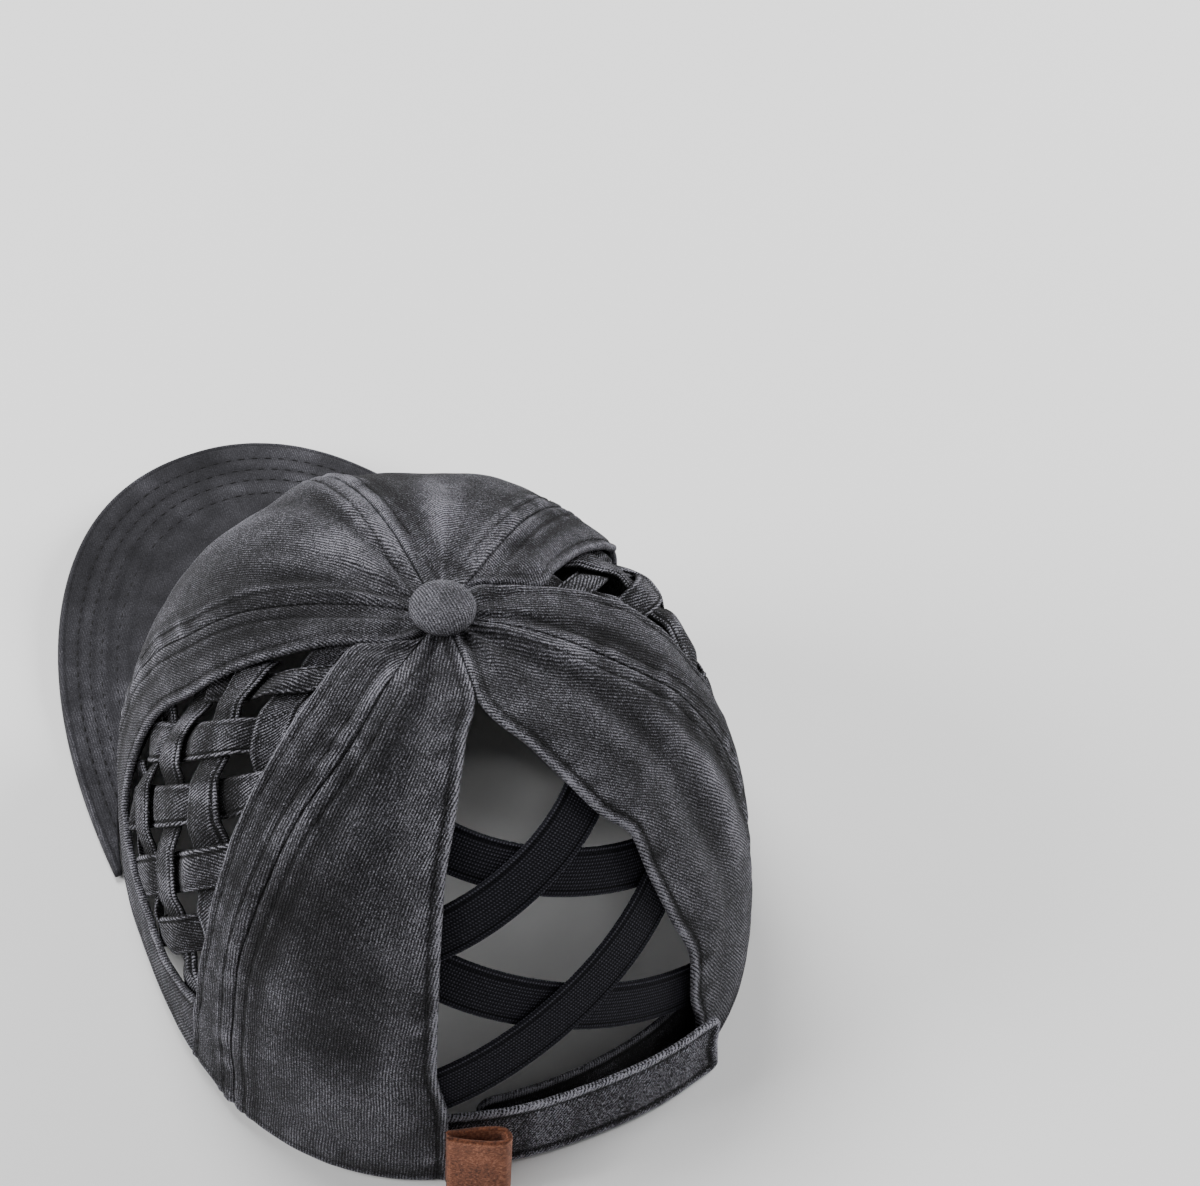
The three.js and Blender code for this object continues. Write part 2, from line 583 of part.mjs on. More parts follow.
function add(name, geometry, finish) {
  const mesh = new THREE.Mesh(geometry, new THREE.MeshStandardMaterial({ metalness: 0, ...FINISH[finish] }));
  mesh.name = name;
  cap.add(mesh);
}

add('front_panel_left', frontPanel(1), 'cloth');
add('front_panel_right', frontPanel(-1), 'cloth');
add('back_panel_left', backPanel(1, OPENING.left), 'cloth');
add('back_panel_right', backPanel(-1, OPENING.right), 'cloth');
for (const [word, side] of [['left', 1], ['right', -1]]) {
  const hems = WINDOW[word];
  add(`side_front_${word}`, sideFront(side, hems), 'cloth');
  add(`side_back_${word}`, sideBack(side, hems), 'cloth');
  const outline = windowOutline(hems);
  for (const { row } of ACROSS) add(`weave_${word}_across_${row}`, weaveStrip(side, outline, true, row), 'strip');
  for (const { row } of DOWN) add(`weave_${word}_down_${row}`, weaveStrip(side, outline, false, row), 'strip');
}
add('button', button(), 'pale');
add('visor', visor(), 'cloth');
for (const row of BANDS) add(row.name, band(row), 'elastic');
const strapOut = (around) => lerp(LAYER.strapUnder, LAYER.strapOver, read(STRAP_RUN, 'around', 'over', around));
add('strap_outer', upright({ ...STRAP, foot: 0, outAt: strapOut }), 'pale');
add('strap_inner', upright({ ...TAPE, outAt: () => LAYER.tape }), 'tape');
add('tag', tag(), 'leather');

// The origin is on the floor, under the middle of the whole cap.
const box = new THREE.Box3().setFromObject(cap);
for (const mesh of cap.children) {
  mesh.geometry.translate(-(box.min.x + box.max.x) / 2, -(box.min.y + box.max.y) / 2, 0);
}

export default cap;
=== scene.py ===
"""Looks of a washed cotton baseball cap with woven open sides, a hemmed back opening with
crossing elastic bands, a closing strap, a leather loop, a covered button and a curved visor.

Lengths are millimetres in the cap's own frame until a mesh is made: +Z up, the wearer faces -Y
and their left hand is at +X. A place on the crown is "around" (degrees from the front towards
the wearer's left) and "up" (degrees from the rim, 0, to the button, 90). Meshes are in metres.
"""
import math
from itertools import product
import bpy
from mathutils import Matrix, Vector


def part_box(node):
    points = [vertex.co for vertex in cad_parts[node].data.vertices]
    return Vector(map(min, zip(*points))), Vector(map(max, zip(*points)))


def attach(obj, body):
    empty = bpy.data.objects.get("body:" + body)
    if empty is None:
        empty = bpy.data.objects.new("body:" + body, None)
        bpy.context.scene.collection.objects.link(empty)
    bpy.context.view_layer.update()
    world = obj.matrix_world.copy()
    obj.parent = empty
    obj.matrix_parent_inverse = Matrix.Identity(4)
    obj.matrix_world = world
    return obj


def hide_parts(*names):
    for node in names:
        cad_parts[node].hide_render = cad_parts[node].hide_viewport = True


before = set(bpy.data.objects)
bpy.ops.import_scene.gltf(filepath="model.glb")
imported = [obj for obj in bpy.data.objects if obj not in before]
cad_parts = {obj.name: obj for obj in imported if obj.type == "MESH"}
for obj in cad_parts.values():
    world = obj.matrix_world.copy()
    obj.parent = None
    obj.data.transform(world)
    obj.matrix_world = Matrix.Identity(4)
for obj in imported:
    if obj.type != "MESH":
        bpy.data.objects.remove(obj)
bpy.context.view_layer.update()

from types import SimpleNamespace as Sizes

import bpy
import numpy as np
from mathutils import Vector

MM = 0.001
SIDES = (("left", 1), ("right", -1))
# How much darker every inner face is: painted shade.
INSIDE_SHADE = 0.15


def curve(*points):
    """A line through points, for read(), which looks it up by their first number."""
    return np.array(points, float).T


# Sizes of the cap, as its solids have them.
CROWN = Sizes(front=98.4, back=98.2, side=88.2, tall=111.2, top_back=2.4)
DOME = Sizes(round=0.686, round_front=-0.091, climb=1.071)
REST = Sizes(pitch=4.8, heel=97)
CLOTH = Sizes(thick=1.8, gap=0.3, hem_raise=0.5, top_up=89.45)
VISOR = Sizes(
    reach=82.7, half_width=80.8, middle=-3, root_y=-22.9, nose=11.8, rise=3.4, sag=13.4,
    squareness=0.882, thick=2.8, seam_left=66, seam_right=61, corner_left=86.3, corner_right=82.5,
)
VISOR_LONG = CROWN.front + VISOR.reach + VISOR.root_y
BUTTON = Sizes(radius=8.5, tall=6.0, seat=0.75)
WEAVE = Sizes(thick=1.1, ridge=0.85, slack=0.42, middle=90, face=-0.9, dive=9, lip=1.6)
BAND = Sizes(wide=13.6, thick=1.2, tuck=6)
STRAP = Sizes(tall=23.5, thick=2.0, start=153, stop=208.5, foot=0, corner=2.6)
TAPE = Sizes(tall=24.5, thick=1.4, start=162, stop=214, foot=0.6, corner=5)
TAG = Sizes(wide=16, tall=22.5, thick=1.3, at=156.8, base=1.2, mouth=4.2)

# Layers, measured off the crown's face.
OVER_PANEL = CLOTH.hem_raise + CLOTH.gap
UNDER_PANEL = -CLOTH.thick - CLOTH.gap
OUTER_BAND = UNDER_PANEL - CLOTH.gap - BAND.thick / 2
INNER_BAND = OUTER_BAND - BAND.thick - CLOTH.gap
TAPE_OUT = INNER_BAND - BAND.thick / 2 - CLOTH.gap - TAPE.thick / 2
STRAP_UNDER = UNDER_PANEL - CLOTH.gap - STRAP.thick / 2
STRAP_OVER = OVER_PANEL + STRAP.thick / 2
WEAVE_SWING = (WEAVE.thick / 2 + WEAVE.ridge) / 2 + WEAVE.slack
WEAVE_UNDER = UNDER_PANEL - 1.5 * CLOTH.gap - WEAVE_SWING - WEAVE.ridge

# The crown's plan (turns, cosine and sine shares) and the height of its rim by around.
SWELL = ((1, 0, -0.028), (2, 0.018, -0.018), (3, 0.006, 0.017), (4, -0.024, 0.009))
RIM = curve((0, 0.8), (30, 0.58), (50, 0.2), (62, 0.02), (72, 0.02), (90, 0.36),
            (108, 0.44), (125, 0.27), (142, 0.08), (152, 0), (180, 0))

# Edges of the panels: around by up. The windows narrow to a peak that both hems share.
SEAM_SIDE = curve((0, 50), (30, 52.5), (42, 55), (55, 58), (90, 58))
SEAM_BACK = curve((0, 120), (17, 118), (33, 116.5), (53, 117.5), (72, 121), (90, 119))
FRONT_LOW = ((0, 66), (20, 65.6), (37, 67), (50, 72.3), (66, 76.5))
LEFT_PEAK = ((82, 86.6), (85, 96), (88, 113), (90, 118))
RIGHT_PEAK = ((79, 88.3), (82, 84), (85, 76.5), (86.8, 64), (90, 58))
WINDOW = {
    "left": Sizes(
        front=curve(*FRONT_LOW, (78, 82), *LEFT_PEAK),
        back=curve((0, 108.4), (21, 107.8), (44, 105), (59, 102.5), (71.5, 98), (77, 93), *LEFT_PEAK),
        top=82, front_top=CLOTH.top_up, back_top=88.3),
    "right": Sizes(
        front=curve(*FRONT_LOW, (75, 82), *RIGHT_PEAK),
        back=curve((0, 108.4), (20, 107), (43.5, 102.5), (61, 97), (70, 93.5), *RIGHT_PEAK),
        top=79, front_top=88.4, back_top=CLOTH.top_up),
}
OPENING_TOP = 80.3
OPENING = {
    "left": curve((0, 157), (15, 156.4), (24, 154.2), (42, 154), (53, 154.6), (63, 157.5),
                  (74, 163.4), (OPENING_TOP, 173.8), (86, 176), (90, 178)),
    "right": curve((0, -153.6), (10, -153.6), (18, -154.6), (25, -153.4), (34, -156), (44, -157.4),
                   (50, -157.2), (56, -162.2), (70, -172), (OPENING_TOP, -186.2), (86, -184),
                   (90, -182)),
}
# The window's lower edge: up by around.
SILL = curve((60, 14), (66, 13), (72, 10.6), (80, 9.6), (94, 9.4), (103, 11), (109, 13))

# Folds (in walls of cloth) and creases (in mm): around, up, wide, tall, deep.
FOLDS = ((141, 62, 7, 22, -1.25), (133, 70, 5, 14, 0.65), (138, 8, 20, 4, -0.65),
         (-139, 45, 6, 20, -1.35), (-146, 30, 6, 12, 0.8), (20, 45, 10, 16, -0.65),
         (-25, 60, 9, 16, -0.8), (-110, 30, 6, 20, 0.65), (30, 78, 8, 8, -0.55),
         (-147, 76, 9, 8, -0.65))
CREASES = ((-129, 43, 4, 8, 1.1), (-130.5, 34, 3.8, 8, 1.0), (-126, 22, 3.6, 9, 0.95),
           (-119.5, 34, 3, 11, -1.1), (-136.5, 33, 3.4, 12, -0.8), (-141, 60, 4.5, 7, 0.6),
           (-147.5, 50, 3.6, 8, -0.7), (-133, 58, 4, 7, -0.55))
PUCKER = Sizes(count=14, deep=0.28)

# The two ways of the weave: up of the rows' middle lines at WEAVE.middle, and how they run.
WAYS = {
    "across": Sizes(up=np.array([73, 55, 39, 22.3, 8.6]), slope=1.06, wide=0.64, tuck=0.22, grain=48),
    "down": Sizes(up=np.array([70.5, 47.5, 27, 10, -8]), slope=-1.15, wide=0.61, tuck=0.26, grain=-35),
}
# Elastic bands: from around and up, to around and up, layer.
BANDS = {
    "band_outer_upper": (195, 59, 155, 45.6, OUTER_BAND),
    "band_outer_lower": (202, 38.3, 156, 19.4, OUTER_BAND),
    "band_inner_upper": (157, 58, 201, 45.5, INNER_BAND),
    "band_inner_lower": (155, 38, 205, 18.4, INNER_BAND),
}
# How far the strap has come over the panel, by around.
STRAP_RUN = curve((150, 0), (158, 0), (168, 0.2), (184, 0.55), (198, 1), (204, 1.2), (210, 1.5))

# The cap's own frame to the part's: the button and the visor's nose are known in both.
button_low, button_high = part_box("button")
SHIFT = np.array([
    (button_low.x + button_high.x) / 2 / MM,
    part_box("visor")[0].y / MM + CROWN.front + VISOR.reach,
    0,
])


# Small numeric helpers


def smooth(x, low, high):
    t = np.clip((x - low) / (high - low), 0, 1)
    return t * t * (3 - 2 * t)


def bump(x, middle, wide):
    return np.exp(-(((x - middle) / wide) ** 2))


def bumps(x, *lines):
    """A sum of bumps, each with its height, middle and width."""
    return sum(high * bump(x, middle, wide) for high, middle, wide in lines)


def mix(a, b, share):
    return a + (b - a) * share


def norm(v):
    return np.linalg.norm(v, axis=-1)


def unit(v):
    return v / np.maximum(norm(v)[..., None], 1e-12)


def read(line, x):
    """Smooth reading of a line between its points."""
    k, v = line
    x = np.clip(x, k[0], k[-1])
    step = np.diff(v) / np.diff(k)
    slope = np.zeros_like(v)
    before, after = step[:-1], step[1:]
    turning = before * after <= 0
    slope[1:-1] = np.where(turning, 0, 2 * before * after / np.where(turning, 1, before + after))
    i = np.clip(np.searchsorted(k, x, side="right") - 1, 0, len(k) - 2)
    span = k[i + 1] - k[i]
    t = (x - k[i]) / span
    ends = v[i] * (1 + 2 * t) * (1 - t) ** 2 + v[i + 1] * t * t * (3 - 2 * t)
    return ends + span * (slope[i] * t * (1 - t) ** 2 - slope[i + 1] * t * t * (1 - t))


def noise(points, size, seed=0):
    """Smooth noise from -1 to 1 whose lumps are about size across."""
    q = np.asarray(points, float) / size + seed * 31.7
    cell = np.floor(q).astype(np.int64)
    f = q - cell
    f = f * f * (3 - 2 * f)
    total = 0.0
    for corner in product((0, 1), repeat=q.shape[-1]):
        c = cell + np.array(corner)
        h = np.zeros(c.shape[:-1], np.int64)
        for k, prime in zip(range(c.shape[-1]), (73856093, 19349663, 83492791)):
            h ^= c[..., k] * prime
        h = ((h ^ (h >> 13)) * 1274126177) & 0xFFFFFFFF
        h = ((h ^ (h >> 15)) * 2246822519) & 0xFFFFFFFF
        value = (h & 0xFFFF) / 0x7FFF - 1
        total = total + np.prod(np.where(np.array(corner), f, 1 - f), axis=-1) * value
    return total


def run_noise(along, size, seed):
    """Noise along a line."""
    return noise(np.stack([along, np.zeros_like(along)], -1), size, seed)


def arc(points, axis=0):
    """Length run along an axis of a grid of points, from 0."""
    steps = np.cumsum(norm(np.diff(points, axis=axis)), axis=axis)
    return np.insert(steps, 0, 0, axis=axis)


def rounded(distance, radius):
    """Height of a round edge, from 0 at the edge to 1 a radius away."""
    return np.sqrt(1 - (1 - np.clip(distance / radius, 0, 1)) ** 2)


# The crown's face


def skin(around, up):
    phi = np.radians(around)
    s = np.radians(np.clip(up, 0, 90))
    rho = np.maximum(np.cos(s), 1e-6) ** (DOME.round + DOME.round_front * np.cos(phi))
    z = CROWN.tall * np.sin(s) ** DOME.climb
    depth = np.where(np.cos(phi) > 0, CROWN.front, CROWN.back)
    swell = sum(c * np.cos(t * phi) + d * np.sin(t * phi) for t, c, d in SWELL)
    grow = rho * (1 + swell * np.cos(s))
    x = CROWN.side * np.sin(phi) * grow
    y = -depth * np.cos(phi) * grow + CROWN.top_back * (z / CROWN.tall) ** 2
    tip, heel = math.radians(REST.pitch), REST.heel
    stand_y = heel + (y - heel) * math.cos(tip) + z * math.sin(tip)
    stand_z = z * math.cos(tip) - (y - heel) * math.sin(tip)
    foot = -(y - heel) * math.sin(tip)
    rim = VISOR.nose * read(RIM, np.abs((around + 540) % 360 - 180))
    settle = np.clip(1 - np.maximum(up, 0) / 26, 0, 1) ** 2
    return np.stack([x, stand_y, stand_z + (rim - foot) * settle], -1)


def skin_normal(around, up):
    e = 0.05
    low = np.minimum(up, 89.9 - e)
    along_rim = skin(around + e, low) - skin(around - e, low)
    along_rise = skin(around, low + e) - skin(around, np.maximum(low - e, 0))
    normal = unit(np.cross(along_rim, along_rise))
    normal[..., 2] *= np.clip(up / 4, 0, 1)
    return unit(normal)


def degree(around, up):
    """The way one degree of around goes on the crown's face, in mm."""
    return skin(around + 0.5, up) - skin(around - 0.5, up)


def dents(table, around, up):
    """Soft dents at places on the crown, as deep as the table says."""
    total = 0
    for a, u, wide, tall, deep in table:
        turn = (around - a + 540) % 360 - 180
        total = total + deep * np.exp(-((turn / wide) ** 2) - ((up - u) / tall) ** 2)
    return total


def folds(around, up):
    """Soft folds and dents shared by all the pieces, in mm off the face."""
    fade = smooth(up, 70, 84) * (1 - smooth(up, 87, 89.5))
    pucker = PUCKER.deep * np.cos(np.radians(around) * PUCKER.count) * fade
    soft = dents(FOLDS, around, up) * smooth(up, 1, 9) * (1 - smooth(up, 84, 88))
    return CLOTH.thick * (soft + pucker)


def place(around, up, out):
    """Points off the crown's face."""
    lift = out + folds(around, up)
    return skin(around, up) + skin_normal(around, up) * lift[..., None]


# Meshes


def put(name, data):
    """A new object in the scene."""
    thing = bpy.data.objects.new(name, data)
    bpy.context.scene.collection.objects.link(thing)
    return thing


def add_mesh(name, points, faces, uv, wear, slot, node=None, material=None):
    """A smooth mesh from points in mm, with its cloth grid in mm and its wear on it, which also carries
    painted shade and painted highlights.
    """
    mesh = bpy.data.meshes.new(name)
    mesh.from_pydata(((points.reshape(-1, 3) + SHIFT) * MM).tolist(), [], faces)
    loops = np.empty(len(mesh.loops), np.int32)
    mesh.loops.foreach_get("vertex_index", loops)
    layer = mesh.uv_layers.new(name="cloth")
    layer.data.foreach_set("uv", np.asarray(uv, np.float32).reshape(-1, 2)[loops].ravel())
    worn_and_lit = mesh.attributes.new("wear", "FLOAT", "POINT")
    worn_and_lit.data.foreach_set("value", np.asarray(wear, np.float32).ravel())
    mesh.polygons.foreach_set("use_smooth", np.ones(len(mesh.polygons), bool))
    mesh.materials.append(material or MATERIALS[slot])
    mesh.update()
    piece = put(name, mesh)
    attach(piece, "root")
    if node:
        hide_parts(node)


def signed_volume(points, quads):
    a, b, c, d = (points[quads[:, k]] for k in range(4))
    return np.sum(a * np.cross(b, c)) + np.sum(a * np.cross(c, d))


def shell(name, outer, inner, wear, uv, slot, node, cells=None):
    """Closed sheet from two faces over one grid, welded all along the border of its cells."""
    high, wide = outer.shape[:2]
    cells = np.ones((high - 1, wide - 1), bool) if cells is None else cells
    around = np.zeros((high + 1, wide + 1), int)
    around[1:-1, 1:-1] = cells
    count = around[:-1, :-1] + around[1:, :-1] + around[:-1, 1:] + around[1:, 1:]
    first = np.cumsum((count > 0).ravel()).reshape(high, wide) - 1
    second = np.cumsum((count == 4).ravel()).reshape(high, wide) + first.max()
    second = np.where(count == 4, second, first)
    j, i = np.nonzero(cells)
    corners = ((j, i), (j, i + 1), (j + 1, i + 1), (j + 1, i))
    top = np.stack([first[c] for c in corners], 1)
    bottom = np.stack([second[c] for c in reversed(corners)], 1)
    quads = np.concatenate([top, bottom])

    def gather(a, b):
        return np.concatenate([a[count > 0], b[count == 4]])

    points = gather(outer, inner)
    if signed_volume(points, quads) < 0:
        quads = quads[:, ::-1]
    # Painted shade: the inner face is darker than the outer.
    wear = gather(wear, wear - INSIDE_SHADE)
    add_mesh(name, points, quads.tolist(), gather(uv, uv), wear, slot, node)


def ring_faces(count, size):
    """Faces between rings of points, and the two ends."""
    r, k = np.divmod(np.arange((count - 1) * size), size)
    after = (k + 1) % size
    quads = size * r[:, None] + np.stack([k, after, size + after, size + k], 1)
    return quads, np.array([np.arange(size)[::-1], (count - 1) * size + np.arange(size)])


def loft(name, rings, uv, wear, slot, node):
    """Closed body through rings of points, with flat ends."""
    quads, ends = ring_faces(*rings.shape[:2])
    if signed_volume(rings.reshape(-1, 3), quads) < 0:
        quads, ends = quads[:, ::-1], ends[:, ::-1]
    add_mesh(name, rings, quads.tolist() + ends.tolist(), uv, wear, slot, node)


def turned(u, v, angle):
    """Cloth grid turned by an angle in degrees, so that the twill runs as it was cut."""
    c, s = math.cos(math.radians(angle)), math.sin(math.radians(angle))
    return np.stack([c * u - s * v, s * u + c * v], -1)


# Materials


class Nodes:
    """Short way to build a material's nodes."""

    def __init__(self, name):
        self.material = bpy.data.materials.new(name)
        self.material.use_nodes = True
        self.tree = self.material.node_tree
        self.shader = self.tree.nodes["Principled BSDF"]

    def feed(self, node, inputs):
        """Link or set a node's inputs."""
        for key, value in dict(inputs).items():
            if isinstance(value, bpy.types.NodeSocket):
                self.tree.links.new(value, node.inputs[key])
            else:
                node.inputs[key].default_value = value

    def make(self, kind, inputs=(), **settings):
        node = self.tree.nodes.new(kind)
        for key, value in settings.items():
            setattr(node, key, value)
        self.feed(node, inputs)
        return node

    def math(self, operation, *parts):
        return self.make("ShaderNodeMath", enumerate(parts), operation=operation).outputs[0]

    def add(self, *parts):
        """A sum, where a pair is a part and its weight."""
        parts = [self.math("MULTIPLY", *part) if isinstance(part, tuple) else part for part in parts]
        total = parts[0]
        for part in parts[1:]:
            total = self.math("ADD", total, part)
        return total

    def uv(self):
        return self.make("ShaderNodeUVMap", uv_map="cloth").outputs[0]

    def spot(self):
        return self.make("ShaderNodeTexCoord").outputs["Object"]

    # Wear with painted shade and painted highlights, from the mesh's one attribute.
    def wear(self):
        return self.make("ShaderNodeAttribute", attribute_name="wear").outputs["Fac"]

    def dot(self, vector, x, y):
        node = self.make("ShaderNodeVectorMath", {0: vector, 1: (x, y, 0)}, operation="DOT_PRODUCT")
        return node.outputs["Value"]

    def noise(self, vector, scale, detail=3.0, roughness=0.55):
        """Noise from about -1 to 1."""
        node = self.make("ShaderNodeTexNoise", {
            "Vector": vector, "Scale": scale, "Detail": detail, "Roughness": roughness})
        return self.math("MULTIPLY", self.math("SUBTRACT", node.outputs["Fac"], 0.5), 2.0)

    def sine(self, phase):
        """Sine of a phase counted in turns."""
        return self.math("SINE", self.math("MULTIPLY", phase, 2 * math.pi))

    def ramp(self, factor, *stops):
        node = self.make("ShaderNodeValToRGB", {0: factor})
        elements = node.color_ramp.elements
        while len(elements) < len(stops):
            elements.new(0.5)
        for element, (position, color) in zip(elements, stops):
            element.position = position
            element.color = (*color, 1)
        return node.outputs[0]

    def relief(self, height, deep, strength):
        """Bump from a height of about -1 to 1 that stands for a depth in mm."""
        node = self.make("ShaderNodeBump", {
            "Strength": strength, "Distance": deep * MM, "Height": height})
        self.feed(self.shader, {"Normal": node.outputs[0]})

    def finish(self, color, roughness, specular, sheen=0.0):
        self.feed(self.shader, {
            "Base Color": color, "Roughness": roughness, "Specular IOR Level": specular,
            "Sheen Weight": sheen, "Sheen Roughness": 0.5, "Sheen Tint": (1, 1, 1, 1)})
        return self.material


def grey(level):
    """The cap's grey, a little blue."""
    return (level, level * 0.985, level * 1.13)


def twill_nodes(n, pitch):
    """Height of a twill's slanted ribs, each a row of short slanted yarns."""
    uv = n.uv()
    wander = n.noise(uv, 0.14, 2)
    jitter = n.noise(uv, 1.1 / pitch, 2)
    rib = n.add(n.dot(uv, 0.88 / pitch, 0.47 / pitch), (wander, 0.6), (jitter, 0.11))
    yarn = n.add(n.dot(uv, -0.3 / pitch, 1.15 / pitch), (n.math("FLOOR", rib), 0.37), (jitter, 0.3))
    faint = n.math("MAXIMUM", n.add(0.62, (n.noise(uv, 0.3 / pitch, 3), 0.9)), 0.1)
    fuzz = n.noise(uv, 2.2 / pitch, 3, 0.8)
    return n.add((n.math("MULTIPLY", n.sine(rib), faint), 0.85), (n.sine(yarn), 0.17), (fuzz, 1.2))


def washed_cloth(name, tones, pitch, ribs=1.0, blotches=1.0, speckle=1.0, deep=0.35):
    """Pigment-washed cotton twill, pale where it rubs; painted shade darkens its hollows and painted
    highlights lighten its ridges and edges.
    """
    n = Nodes(name)
    spot, twill, wear = n.spot(), twill_nodes(n, pitch), n.wear()
    cloud = n.noise(spot, 42, 3, 0.55)
    patch = n.noise(spot, 170, 4, 0.65)
    grain = n.noise(spot, 2300, 3, 0.85)
    rub_and_shading = n.add((twill, 0.8), (patch, 0.4), 0.95)
    # The positive part is rub and painted highlights; the negative part, below, is painted shade.
    worn_and_lit = n.math("MULTIPLY", n.math("MAXIMUM", wear, 0.0), rub_and_shading)
    shade = n.add(
        0.42, (cloud, 0.24 * blotches), (patch, 0.17 * blotches), (grain, 1.5 * speckle),
        (twill, 0.4 * ribs), (worn_and_lit, 0.34), (n.math("MINIMUM", wear, 0.0), 0.42),
    )
    color = n.ramp(shade, *zip((0.0, 0.4, 0.68, 1.0), map(grey, tones)))
    n.relief(n.add((twill, ribs), (grain, 0.5)), deep, 0.9)
    return n.finish(color, 0.95, 0.06, sheen=0.06)


def elastic_cloth():
    """Knitted elastic: fine ribs along it, crossed by finer rows."""
    n = Nodes("ribbed_elastic")
    uv = n.uv()
    rib, row = n.sine(n.dot(uv, 1 / 0.95, 0)), n.sine(n.dot(uv, 0, 1 / 0.8))
    grid = n.add((rib, 0.5), (row, 0.5))
    fleck = n.math("MAXIMUM", n.add(grid, (n.noise(uv, 1.1, 2), 0.5)), 0.0)
    shade = n.add(0.25, (fleck, 0.5), (n.wear(), 0.4))
    color = n.ramp(shade, (0, (0.0015, 0.0015, 0.0025)), (0.4, (0.007, 0.007, 0.0105)),
                   (1, (0.1, 0.1, 0.125)))
    n.relief(grid, 0.18, 0.8)
    return n.finish(color, 0.8, 0.12)


def brushed_leather():
    n = Nodes("brushed_leather")
    spot = n.spot()
    cloud, nap = n.noise(spot, 160, 4, 0.6), n.noise(spot, 1400, 3, 0.7)
    shade = n.add(0.5, (cloud, 0.3), nap, (n.wear(), 0.4))
    color = n.ramp(shade, (0, (0.04, 0.013, 0.007)), (0.5, (0.2, 0.067, 0.032)), (1, (0.42, 0.18, 0.1)))
    n.relief(n.add((nap, 0.7), (cloud, 0.3)), 0.12, 0.8)
    return n.finish(color, 0.85, 0.25, sheen=0.1)


def sewing_thread(name, level):
    n = Nodes(name)
    twist = n.sine(n.dot(n.uv(), 1.0, 1.6))
    shade = n.add(0.5, (twist, 0.3), (n.noise(n.spot(), 900), 0.3))
    color = n.ramp(shade, (0, grey(level * 0.4)), (1, grey(level * 1.6)))
    n.relief(twist, 0.05, 0.6)
    return n.finish(color, 0.75, 0.25)


def studio_floor():
    n = Nodes("pale_floor")
    shade = n.add(0.5, (n.noise(n.spot(), 3.0, 2), 0.3))
    color = n.ramp(shade, (0, (0.87, 0.87, 0.87)), (1, (0.9, 0.9, 0.9)))
    return n.finish(color, 0.9, 0.1)


# The materials by their slots. A cloth's four tones run from its darkest, the painted shade of its
# hollows, to its palest, on rubbed edges and painted highlights.
MATERIALS = {
    "crown_cloth": washed_cloth("washed_twill", (0.006, 0.037, 0.1, 0.37), 0.8, blotches=0.85),
    "woven_strip": washed_cloth("washed_twill_strips", (0.003, 0.02, 0.063, 0.4), 0.8, ribs=1.3),
    "button_cloth": washed_cloth("washed_twill_button", (0.018, 0.085, 0.2, 0.42), 0.75, ribs=0.85,
                                 blotches=0.6),
    "visor_cloth": washed_cloth("brushed_visor_cloth", (0.008, 0.023, 0.05, 0.17), 0.7, ribs=0.2,
                                blotches=0.8, speckle=0.5, deep=0.07),
    "strap_cloth": washed_cloth("washed_twill_strap", (0.005, 0.03, 0.092, 0.5), 0.85, ribs=0.9,
                                blotches=0.8, speckle=1.7),
    "fastening_tape": washed_cloth("woven_tape", (0.004, 0.011, 0.03, 0.22), 0.7, ribs=0.5),
    "elastic": elastic_cloth(),
    "tag_leather": brushed_leather(),
}
# Thread dark charcoal, made darker than the cloth as painted shade of the dents it sinks into.
CROWN_THREAD = sewing_thread("crown_thread_with_painted_shade", 0.012)
VISOR_THREAD = sewing_thread("visor_thread_with_painted_shade", 0.006)


# Cloth with seams, hems and puckers

# Rows of topstitching off an edge, and where the rows of a mesh lie near one.
SEAM_ROW, HEM_ROW, RIM_ROW = 4.2, 3.0, 3.0
EDGE_STEPS = np.array([0, 0.1, 0.25, 0.5, 0.85, 1.25, 1.7, 2.2, 2.75, 3.3, 3.9, 4.5, 5.2, 6, 6.9, 8])
EDGE_ROUND = {"seam": 0.28, "hem": 1.1, "window": 1.1, "rim": 1.1, "end": 0.7}
PANEL_GAP, PANEL_STEP = 0.05, 1.05
LEAST_SINE = 0.35
FAR = 1e3
# About how large the strip before a window and the band under it are, and the strip's around.
STRIP_WIDE, SILL_TALL, SILL_LONG, STRIP_MIDDLE = 16, 18, 62, 62.0
# Painted light and shade that follow the cloth's shape: lighter where waves and relief stand out,
# darker in their hollows.
WAVE_SHADING, RELIEF_SHADING = 0.62, 0.1

# Seeds of the panels' noise; each next edge of a panel adds NEXT_EDGE.
SEEDS = Sizes(front=5, back=15, back_strip=25, front_strip=35)
NEXT_EDGE = 11
GRAINS = {
    "left": Sizes(front=20, front_strip=60, back_strip=24, back=31),
    "right": Sizes(front=-30, front_strip=-70, back_strip=40, back=55),
}


def seam_look(d, along, seed):
    """Relief (mm) and wear near a topstitched seam, d off it: pale on the welt, from rubbing and
    painted highlight, with painted shade along the seam, in the stitch row's dent and past the welt.
    """
    lump = run_noise(along + 0.5 * d, 4.4, seed)
    fine = run_noise(along - 0.3 * d, 1.5, seed + 3)
    puffs = 0.42 * lump * smooth(d, 0.2, 1.6)
    relief = 0.42 * smooth(d, 0.05, 1.7) * (1 - smooth(d, 3.2, 4.2))
    relief = relief + bumps(d, (0.34, 5.5, 0.95), (-0.12, SEAM_ROW, 0.45), (puffs, 0, 6.5))
    # Painted shade along the seam, in the stitch row's dent and past the welt; the welt is pale from
    # rubbing and painted highlight.
    wear = bumps(
        d, (0.45 * (0.8 + 0.4 * fine), 1.0, 0.6), (-0.6, 0, 0.35), (-1.0, SEAM_ROW, 0.5),
        (0.6 * lump, 2.6, 3.4), (0.3 * (0.5 + lump), 5.6, 0.8), (-0.5, 8, 2),
    )
    return relief, wear


